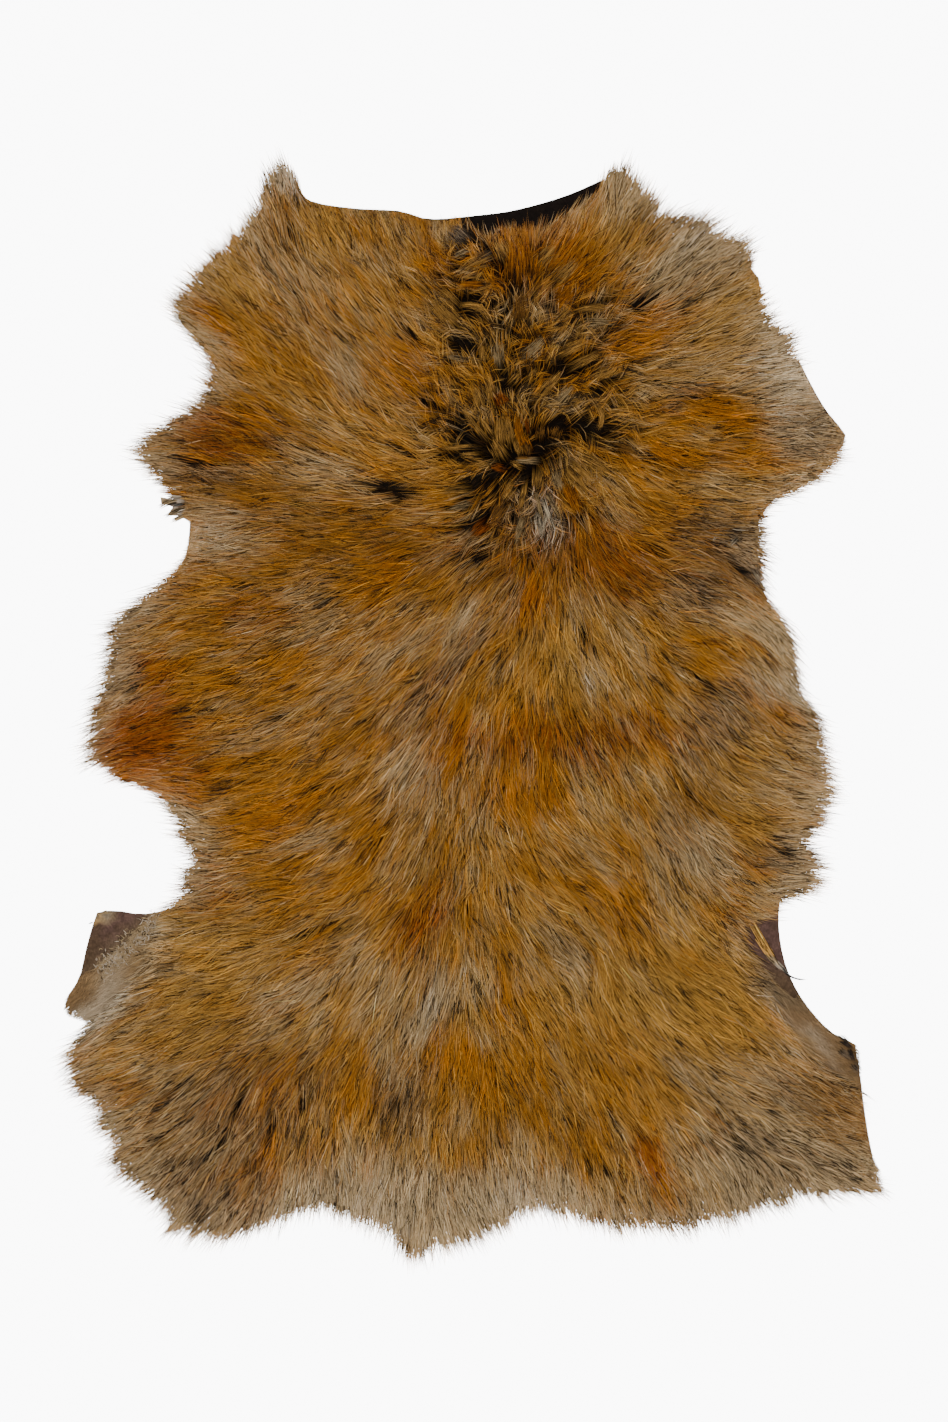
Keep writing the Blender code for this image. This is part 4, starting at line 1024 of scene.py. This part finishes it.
def coat_colours(pattern, seen, lock, clump, sunk, draw):
    """Each hair's colour where it catches the light, with painted shade on the sunk hairs and, in part,
    on the dark hairs.
    """
    names = list(HAIR_COLOURS)
    palette = linear([HAIR_COLOURS[name] for name in names])
    weights = pattern.colours.at(seen)
    blend = weights @ palette
    sharp = weights**PICK_POWER
    chance = np.cumsum(sharp / sharp.sum(1)[:, None], 1)
    locks = lock.max() + 1
    of_lock = palette[(chance > draw.uniform(0, 1, locks)[lock][:, None]).argmax(1)]
    own = palette[(chance > draw.uniform(0, 1, (len(lock), 1))).argmax(1)]
    colour = BLEND_SHARE * blend + LOCK_SHARE * of_lock + OWN_SHARE * own
    light = np.exp(draw.normal(0, CLUMP_LIGHT, clump.max() + 1)[clump])
    light *= np.exp(draw.normal(0, LOCK_LIGHT, locks)[lock])
    # Broad bands of painted light and shade, as the coat's waves would catch the light
    wave_shading = WAVE_SHADING * noise(seen * WAVE_STRETCH, WAVE_SIZE, 62)
    light *= np.exp(draw.normal(0, HAIR_LIGHT, len(lock)) + wave_shading)
    mauve = weights[:, names.index("mauve")]
    # Dark hairs: black hairs, and painted shade in the streaks between locks and in the deep crest
    dark_share = DARK_SHARE + DARK_IN_CREST * pattern.crest.at(seen) + DARK_IN_MAUVE * mauve
    dark = draw.uniform(0, 1, locks)[lock] < dark_share * 0.4
    dark |= draw.uniform(0, 1, len(lock)) < dark_share * 0.9
    light = np.where(dark, light * DARK_LIGHT, light)
    # Sunk hairs are darkened with painted shade of the coat's partings, together with the dark roots that
    # show there
    light = np.where(sunk, light * SUNK_LIGHT, light)
    return colour * light[:, None]


def shifted(pattern, seen, paths, colours):
    """The colour of each hair at each level, with the pattern's own change along the hair."""
    palette = linear(list(HAIR_COLOURS.values()))
    here = pattern.colours.at(seen) @ palette + 0.01
    there = pattern.colours.at(paths.reshape(-1, 2)) @ palette + 0.01
    return colours[:, None, :] * there.reshape(*paths.shape[:2], 3) / here[:, None, :]


def toned(colours, strand):
    """Colours of hairs at each level, darker at the root."""
    if colours.ndim == 2:
        colours = colours[:, None, :]
    return np.clip(colours * np.array(strand.tones)[None, :, None], 0.0, 0.95)


def tuft_hairs(tufts, palette, strand, closing, draw):
    """Hairs laid side by side along each tuft of a table, closing up by a share at its tip."""
    all_paths, all_colours = [], []
    for tuft in tufts:
        count = max(3, round(tuft.long * tuft.wide * TUFT_DENSITY))
        shares = np.linspace(0, 1, 25)
        heading = np.radians(tuft.degrees + tuft.turn * shares)
        steps = np.stack([np.cos(heading), -np.sin(heading)], 1) * tuft.long / 24
        spine = np.vstack([[0, 0], np.cumsum(steps[1:], 0)]) + (tuft.x, tuft.y)
        across = np.stack([np.sin(heading), np.cos(heading)], 1)
        start = draw.uniform(0, 0.45, count)
        end = draw.uniform(0.6, 1.0, count)
        at = start[:, None] + (end - start)[:, None] * np.array(strand.shares)[None, :]
        middle = np.stack([np.interp(at, shares, spine[:, i]) for i in (0, 1)], -1)
        side = np.stack([np.interp(at, shares, across[:, i]) for i in (0, 1)], -1)
        offset = draw.normal(0, 0.6, count)[:, None] * tuft.wide * (1 - closing * at)
        offset += draw.normal(0, 0.25, count)[:, None] * tuft.wide * at
        all_paths.append(middle + side * offset[..., None])
        light = np.exp(draw.normal(-0.08, 0.34, count))
        light[draw.uniform(0, 1, count) < TUFT_DARK_SHARE] *= DARK_LIGHT
        all_colours.append(linear(palette[tuft.colour])[None, :] * light[:, None])
    return np.vstack(all_paths), np.vstack(all_colours)


def short_hairs(pattern, draw):
    """Short smooth hair inside the flanks' short patches."""
    points = grid_points()
    inner = points[pattern.short_edge.at(points) < 2]
    low, high = inner.min(0), inner.max(0)
    count = int((high - low).prod() / SHORT_SPACING**2 * SHORT_CROWD)
    roots = draw.uniform(low, high, (count, 2))
    roots = roots[(pattern.short_edge.at(roots) < 2) & (pattern.skin_edge.at(roots) < -1)]
    lengths = SHORT_LENGTH * draw.uniform(0.6, 1.2, len(roots))
    turns = np.radians(draw.normal(0, SHORT_TURN, len(roots)))
    bends = np.radians(draw.normal(0, SHORT_BEND, len(roots)))
    paths = walk(pattern, roots, lengths, turns, bends)
    shares = cut_to_rim(pattern.skin_edge, paths, draw.uniform(-2, 1.5, len(roots)))
    keep = shares * lengths > 3
    names = list(HAIR_COLOURS)
    palette = linear([HAIR_COLOURS[name] for name in names])
    colours = pattern.colours.at(roots[keep]) @ palette
    colours *= SHORT_LIGHT * np.exp(draw.normal(0, 0.18, keep.sum()))[:, None]
    return along(paths[keep], shares[keep, None] * np.array(SHORT_STRAND.shares)), colours


def ribbon_mesh(name, places, tones, widths, draw):
    """One mesh of tapering ribbons, one for each hair, with its colours and a place in the bake."""
    count, levels = places.shape[:2]
    pairs = levels - 1
    along_hair = np.gradient(places, axis=1)
    along_hair /= np.maximum(np.linalg.norm(along_hair, axis=2), 1e-9)[..., None]
    flat = np.stack([-along_hair[..., 1], along_hair[..., 0], np.zeros((count, levels))], -1)
    flat /= np.maximum(np.linalg.norm(flat, axis=2), 1e-9)[..., None]
    raised = np.cross(along_hair, flat)
    roll = np.radians(draw.normal(0, 32, count))[:, None, None]
    side = flat * np.cos(roll) + raised * np.sin(roll)
    half = 0.5 * MM * draw.uniform(0.75, 1.2, count)[:, None, None] * np.array(widths)[None, :, None]
    left = places[:, :pairs] - side[:, :pairs] * half
    right = places[:, :pairs] + side[:, :pairs] * half
    body = np.stack([left, right], 2).reshape(count, 2 * pairs, 3)
    verts = np.concatenate([body, places[:, -1:]], 1)
    stride = 2 * pairs + 1
    quads = [(2 * i, 2 * i + 1, 2 * i + 3, 2 * i + 2) for i in range(pairs - 1)]
    corners = np.array([c for quad in quads for c in quad] + [2 * pairs - 2, 2 * pairs - 1, 2 * pairs])
    starts = np.array([4 * i for i in range(pairs)])
    loops = (np.arange(count)[:, None] * stride + corners[None, :]).ravel()
    loop_starts = (np.arange(count)[:, None] * len(corners) + starts[None, :]).ravel()

    mesh = bpy.data.meshes.new(name)
    mesh.vertices.add(count * stride)
    mesh.vertices.foreach_set("co", verts.ravel())
    mesh.loops.add(len(loops))
    mesh.loops.foreach_set("vertex_index", loops)
    mesh.polygons.add(len(loop_starts))
    mesh.polygons.foreach_set("loop_start", loop_starts)

    tone = np.concatenate([np.repeat(tones[:, :pairs], 2, axis=1), tones[:, -1:]], 1)
    set_tones(mesh, tone.reshape(-1, 3))

    cells = math.ceil(math.sqrt(count))
    across = np.array([0.2, 0.8] * pairs + [0.5])
    up = np.append(np.repeat(np.arange(pairs), 2), pairs) / pairs * 0.8 + 0.1
    number = np.arange(count)
    u = ((number % cells)[:, None] + across[None, :]) / cells
    v = ((number // cells)[:, None] + up[None, :]) / cells
    uv = np.stack([u, v], -1).reshape(-1, 2)
    layer = mesh.uv_layers.new(name="OFBake")
    layer.data.foreach_set("uv", uv[loops].ravel())
    mesh.update(calc_edges=True)
    mesh.shade_smooth()
    return mesh


def set_tones(mesh, tones):
    rgba = np.concatenate([tones, np.ones((len(tones), 1))], 1)
    attribute = mesh.color_attributes.new("tone", "FLOAT_COLOR", "POINT")
    attribute.data.foreach_set("color", rgba.ravel())


def link(name, mesh, material):
    ob = bpy.data.objects.new(name, mesh)
    mesh.materials.append(material)
    bpy.context.scene.collection.objects.link(ob)
    return ob


def add_ribbons(name, places, tones, widths, material, node, draw):
    ribbons = link(name, ribbon_mesh(name, places, tones, widths, draw), material)
    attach(ribbons, "root")
    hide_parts(node)


def make_coat(pattern, material, draw):
    """The long hair: fine hairs over the back and closer tufts on the crest."""
    own, ends, lock, clump = coat_paths(pattern, draw)
    seen = along(own, ends[:, None] * SEEN_SHARE)[:, 0]
    sunk = sunk_hairs(pattern, seen, lock, clump, draw)
    colours = coat_colours(pattern, seen, lock, clump, sunk, draw)
    lift = draw.normal(0, LIFT_SPREAD, lock.max() + 1)[lock]
    crest = pattern.crest.at(own[:, 0]) > CREST_FROM
    for title, strand, group, pieces in (
        ("hair", COAT_STRAND, ~crest, PIECES),
        ("crest", CREST_STRAND, crest, 1),
    ):
        paths = along(own[group], ends[group, None] * np.array(strand.shares))
        heights = coat_heights(pattern, paths, strand, lift[group], sunk[group], draw)
        places = to_world(paths, heights)
        tones = toned(shifted(pattern, seen[group], paths, colours[group]), strand)
        widths = np.array(strand.widths) * HAIR_WIDTH
        order = np.argsort(paths[:, 0, 1], kind="stable")
        for number, part in enumerate(np.array_split(order, pieces), 1):
            name = f"{title}_{number}"
            add_ribbons(name, places[part], tones[part], widths, material, "fleece", draw)


def make_fringe(pattern, material, draw):
    """Fine hairs along the rim that reach a little past the long coat."""
    points = grid_points()
    low, high = points.min(0), points.max(0)
    roots = draw.uniform(low, high, (FRINGE_COUNT * 14, 2))
    edge = pattern.locks_edge.at(roots)
    near = (edge < -3) & (edge > -RIM_BAND) & (pattern.reach.at(roots) > BARE_REACH + 1)
    roots = roots[near & (pattern.outside.at(roots) < 0)][:FRINGE_COUNT]
    count = len(roots)
    lengths = draw.uniform(*FRINGE_LENGTHS, count)
    turns = np.radians(draw.normal(0, CLUMP_TURN, count))
    own = walk(pattern, roots, lengths, turns, np.radians(draw.normal(0, BEND, count)))
    overshoot = np.minimum(draw.exponential(FRINGE_REACH, count), FRINGE_LIMIT) - 1
    shares = cut_to_rim(pattern.locks_edge, own, overshoot)
    seen = along(own, shares[:, None] * FRINGE_SEEN_SHARE)[:, 0]
    group = np.arange(count) // 3
    colours = coat_colours(pattern, seen, group, group, np.zeros(count, bool), draw)
    paths = along(own, shares[:, None] * np.array(FRINGE_STRAND.shares))
    heights = coat_heights(pattern, paths, FRINGE_STRAND, np.full(count, -1.0), np.zeros(count), draw)
    tones = toned(colours, FRINGE_STRAND)
    widths = np.array(FRINGE_STRAND.widths) * FRINGE_WIDTH
    add_ribbons("fringe", to_world(paths, heights), tones, widths, material, "fleece", draw)


def make_tufts(pattern, material, draw):
    """The tufts that lie across the crest."""
    paths, colours = tuft_hairs(TUFTS, TUFT_COLOURS, CREST_STRAND, 0.5, draw)
    lift = draw.normal(TUFT_LIFT, 1.2, len(paths))
    heights = coat_heights(pattern, paths, CREST_STRAND, lift, np.zeros(len(paths)), draw)
    tones = toned(colours, CREST_STRAND)
    widths = np.array(CREST_STRAND.widths) * TUFT_WIDTH
    add_ribbons("tufts", to_world(paths, heights), tones, widths, material, "fleece", draw)


def make_short_hair(pattern, material, draw):
    paths, colours = short_hairs(pattern, draw)
    rise = np.array(SHORT_STRAND.rises)[None, :] * draw.uniform(0.5, 1, len(paths))[:, None]
    heights = SKIN_TOP + SHORT_DEPTH * rise
    tones = toned(colours, SHORT_STRAND)
    widths = np.array(SHORT_STRAND.widths) * HAIR_WIDTH
    add_ribbons("short_hair", to_world(paths, heights), tones, widths, material, "fleece", draw)


def make_fibres(material, draw):
    """The loose fibres, the strip and the thread on the bare skin."""
    paths, colours = tuft_hairs(FIBRES, SKIN_COLOURS, FIBRE_STRAND, 0.3, draw)
    heights = SKIN_TOP + 0.5 + np.array(FIBRE_STRAND.rises)[None, :] * draw.uniform(0, 2, (len(paths), 1))
    tones = toned(colours, FIBRE_STRAND)
    widths = np.array(FIBRE_STRAND.widths) * FIBRE_WIDTH
    add_ribbons("fibres", to_world(paths, heights), tones, widths, material, "hide", draw)


def make_cracks(material, draw):
    """The short curly cracks along the left flank's short hair."""
    knots = np.array(CRACKS, float)
    at = draw.uniform(0, len(knots) - 1, CRACK_COUNT)
    middles = np.stack([np.interp(at, range(len(knots)), knots[:, i]) for i in (0, 1)], 1)
    middles += draw.normal(0, CRACK_SPREAD, middles.shape)
    heading = draw.uniform(0, 2 * math.pi, CRACK_COUNT)[:, None]
    curl = draw.normal(0, 1.6, (CRACK_COUNT, 1))
    levels = np.linspace(0, 1, 6)[None, :]
    ways = heading + curl * levels * 2
    steps = np.stack([np.cos(ways), np.sin(ways)], -1) * draw.uniform(0.5, 1, (CRACK_COUNT, 1, 1))
    curls = middles[:, None, :] + np.cumsum(steps, 1) * CRACK_LENGTH / 5
    palette = linear([SKIN_COLOURS[name] for name in CRACK_COLOURS])
    colours = palette[draw.choice(len(palette), CRACK_COUNT, p=list(CRACK_COLOURS.values()))]
    tones = np.repeat(colours[:, None], 6, 1)
    heights = np.full(curls.shape[:2], SKIN_TOP + CRACK_HEIGHT)
    widths = np.array([0.6, 1, 1, 0.9, 0.6]) * CRACK_WIDTH
    add_ribbons("cracks", to_world(curls, heights), tones, widths, material, "hide", draw)


def new_material(name, roughness, specular):
    """A material with the plain values of its shader, its nodes and links, and the shader."""
    material = bpy.data.materials.new(name)
    material.use_nodes = True
    nodes, links = material.node_tree.nodes, material.node_tree.links
    shader = nodes["Principled BSDF"]
    shader.inputs["Roughness"].default_value = roughness
    shader.inputs["Specular IOR Level"].default_value = specular
    return material, nodes, links, shader


def tone_output(nodes):
    """The colour that a mesh carries at its corners."""
    tone = nodes.new("ShaderNodeVertexColor")
    tone.layer_name = "tone"
    return tone.outputs["Color"]


def hair_material():
    material, nodes, links, shader = new_material("hair", 0.6, 0.08)
    links.new(tone_output(nodes), shader.inputs["Base Color"])
    return material


def undercoat_shade_material():
    material, nodes, links, shader = new_material("undercoat_shade", 0.85, 0.05)
    fine = nodes.new("ShaderNodeTexNoise")
    fine.inputs["Scale"].default_value = 320
    ramp = nodes.new("ShaderNodeValToRGB")
    # Near-black: the dark roots, with the shade deep in the coat painted in
    ramp.color_ramp.elements[0].color = (0.002, 0.0015, 0.001, 1)
    ramp.color_ramp.elements[1].color = (0.012, 0.007, 0.004, 1)
    links.new(fine.outputs["Fac"], ramp.inputs["Fac"])
    links.new(ramp.outputs["Color"], shader.inputs["Base Color"])
    return material


def leather_material():
    material, nodes, links, shader = new_material("leather", 0.75, 0.04)
    grain = nodes.new("ShaderNodeTexNoise")
    grain.inputs["Scale"].default_value = 420
    grain.inputs["Detail"].default_value = 4
    shade = nodes.new("ShaderNodeMapRange")
    shade.inputs["From Min"].default_value = 0.3
    shade.inputs["From Max"].default_value = 0.7
    shade.inputs["To Min"].default_value = 0.7
    shade.inputs["To Max"].default_value = 1.25
    scaled = nodes.new("ShaderNodeVectorMath")
    scaled.operation = "SCALE"
    links.new(grain.outputs["Fac"], shade.inputs["Value"])
    links.new(tone_output(nodes), scaled.inputs[0])
    links.new(shade.outputs["Result"], scaled.inputs["Scale"])
    links.new(scaled.outputs["Vector"], shader.inputs["Base Color"])
    return material


def make_undercoat_shade(pattern):
    """A rough near-black surface under the hair, the dark roots with painted shade deep in the coat, on
    an even mesh inside the coat's rim.
    """
    xs = np.arange(*UNDERCOAT_COLUMNS, UNDERCOAT_STEP)
    ys = np.arange(*UNDERCOAT_ROWS, UNDERCOAT_STEP)
    across, down = np.meshgrid(xs, ys)
    points = np.stack([across.ravel(), down.ravel()], 1)
    inset = pattern.outside.at(points) + np.maximum(pattern.reach.at(points), 4) * 0.9
    keep = (inset < 0) & (pattern.short_edge.at(points) > 0)
    top = pattern.coat.at(points)
    height = np.maximum(SKIN_TOP + 0.8, SKIN_TOP + (top - SKIN_TOP) * 0.5 - 1.0)
    number = np.where(keep, np.cumsum(keep) - 1, -1).reshape(len(ys), len(xs))
    quads = []
    for i in range(len(ys) - 1):
        for j in range(len(xs) - 1):
            ring = (number[i + 1, j], number[i + 1, j + 1], number[i, j + 1], number[i, j])
            if min(ring) >= 0:
                quads.append(tuple(int(n) for n in ring))
    mesh = bpy.data.meshes.new("undercoat_shade")
    mesh.from_pydata(to_world(points[keep], height[keep]).tolist(), [], quads)
    mesh.shade_smooth()
    under = link("undercoat_shade", mesh, undercoat_shade_material())
    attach(under, "root")
    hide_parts("fleece")


def sheet_rim(node):
    """The corners round the top of a CAD sheet, in order, in millimetres on the pattern."""
    mesh = node.data
    sides = {}
    for face in mesh.polygons:
        if face.normal.z > 0.9:
            ring = [tuple(round(c, 6) for c in mesh.vertices[i].co[:2]) for i in face.vertices]
            for start, end in zip(ring, ring[1:] + ring[:1]):
                sides[start, end] = True
    following = {start: end for start, end in sides if (end, start) not in sides}
    first = next(iter(following))
    rim = [first]
    while following[rim[-1]] != first:
        rim.append(following[rim[-1]])
    return np.array(rim) / MM * (1, -1) + CENTRE


def skin_tones(points):
    """The colour of the bare skin at each point."""
    names = list(SKIN_COLOURS)
    weights = np.zeros((len(points), len(names)))
    weights[:, names.index("brown")] = 1.0
    weights[:, names.index("umber")] = np.clip(noise(points, 9, 31), 0, None)
    moved = points + 2.5 * np.stack([noise(points, 5, 32), noise(points, 5, 33)], 1)
    add_patches(weights, names, SKIN_PATCHES, moved)
    weights /= weights.sum(1)[:, None]
    tones = weights @ linear([SKIN_COLOURS[name] for name in names])
    return tones * (1 + 0.25 * noise(points, 3, 34) + 0.15 * noise(points, 7, 35))[:, None]


def even_points(low, high, step):
    """Points evenly apart over a box on the pattern."""
    spans = (np.arange(start, end, step) for start, end in zip(low, high))
    return np.stack(np.meshgrid(*spans), -1).reshape(-1, 2)


def make_skin(frame, pattern, material):
    """The skin as one closed sheet on the CAD outline, with small faces where it shows."""
    rim = sheet_rim(frame["nodes"]["hide"])
    low, high = rim.min(0), rim.max(0)
    fine = even_points(low, high, SKIN_STEP)
    wide = even_points(low, high, SKIN_WIDE_STEP)
    shown = pattern.short_edge.at(fine) < 4
    for patch in BARE_PATCHES:
        shown |= bare_near(fine, patch)
    fine = fine[shown]
    points = np.vstack([fine, wide])
    points = points[distance_to(points, rim)[0] < -0.6 * SKIN_STEP]
    corners = [Vector(p) for p in np.vstack([rim, points]).tolist()]
    sides = [(i, (i + 1) % len(rim)) for i in range(len(rim))]
    flat, _, faces, _, _, _ = delaunay_2d_cdt(corners, sides, [], 1, 1e-4)
    flat = np.array([tuple(v) for v in flat])
    count = len(flat)
    top = to_world(flat, np.full(count, SKIN_TOP))
    base = to_world(flat, np.zeros(count))
    sheet = bpy.data.meshes.new("skin")
    upper = [tuple(face) for face in faces]
    lower = [tuple(count + i for i in reversed(face)) for face in faces]
    used = {(a, b) for face in upper for a, b in zip(face, face[1:] + face[:1])}
    walls = [(b, a, count + a, count + b) for a, b in used if (b, a) not in used]
    sheet.from_pydata(np.vstack([top, base]).tolist(), [], upper + lower + walls)
    set_tones(sheet, np.tile(skin_tones(flat), (2, 1)))
    sheet.update()
    recalculate_outside(sheet)
    skin = link("skin", sheet, material)
    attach(skin, "root")
    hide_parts("hide")


def bare_near(points, patch):
    """Which points lie in or near a bare patch."""
    corners = np.array(patch, float)
    low, high = corners.min(0) - SHOWN_MARGIN, corners.max(0) + SHOWN_MARGIN
    near = ((points > low) & (points < high)).all(1)
    near[near] = distance_to(points[near], corners)[0] < SHOWN_MARGIN
    return near


def recalculate_outside(mesh):
    work = bmesh.new()
    work.from_mesh(mesh)
    bmesh.ops.recalc_face_normals(work, faces=work.faces)
    work.to_mesh(mesh)
    work.free()


def make_stage():
    bpy.ops.mesh.primitive_plane_add(size=FLOOR_SIZE, location=(0, 0, -FLOOR_DROP))
    floor = bpy.context.object
    floor.name = "floor"
    material = bpy.data.materials.new("floor")
    material.use_nodes = True
    shader = material.node_tree.nodes["Principled BSDF"]
    shader.inputs["Base Color"].default_value = (0.9, 0.9, 0.9, 1)
    shader.inputs["Roughness"].default_value = 0.9
    shader.inputs["Emission Color"].default_value = (1, 1, 1, 1)
    shader.inputs["Emission Strength"].default_value = FLOOR_GLOW
    floor.data.materials.append(material)
    world = bpy.data.worlds.new("room")
    bpy.context.scene.world = world
    world.use_nodes = True
    background = world.node_tree.nodes["Background"]
    background.inputs["Color"].default_value = (1, 1, 1, 1)
    background.inputs["Strength"].default_value = ROOM_LIGHT
    lamp = bpy.data.lights.new("overhead", "AREA")
    lamp.shape = "DISK"
    lamp.size = LAMP_SIZE
    lamp.energy = LAMP_POWER
    light = bpy.data.objects.new("overhead", lamp)
    light.location = LAMP_PLACE
    light.rotation_euler = (-Vector(LAMP_PLACE)).to_track_quat("-Z", "Y").to_euler()
    bpy.context.scene.collection.objects.link(light)


def make_camera():
    camera = bpy.data.cameras.new("camera")
    camera.type = "ORTHO"
    camera.ortho_scale = VIEW_HEIGHT
    ob = bpy.data.objects.new("camera", camera)
    ob.location = CAMERA_PLACE
    bpy.context.scene.collection.objects.link(ob)
    bpy.context.scene.camera = ob


def main():
    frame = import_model()
    make_camera()
    pattern = Pattern(frame)
    draw = np.random.default_rng(SEED)
    leather = leather_material()
    make_skin(frame, pattern, leather)
    make_fibres(leather, draw)
    make_cracks(leather, draw)
    make_undercoat_shade(pattern)
    hair = hair_material()
    make_coat(pattern, hair, draw)
    make_fringe(pattern, hair, draw)
    make_tufts(pattern, hair, draw)
    make_short_hair(pattern, hair, draw)
    make_stage()


main()
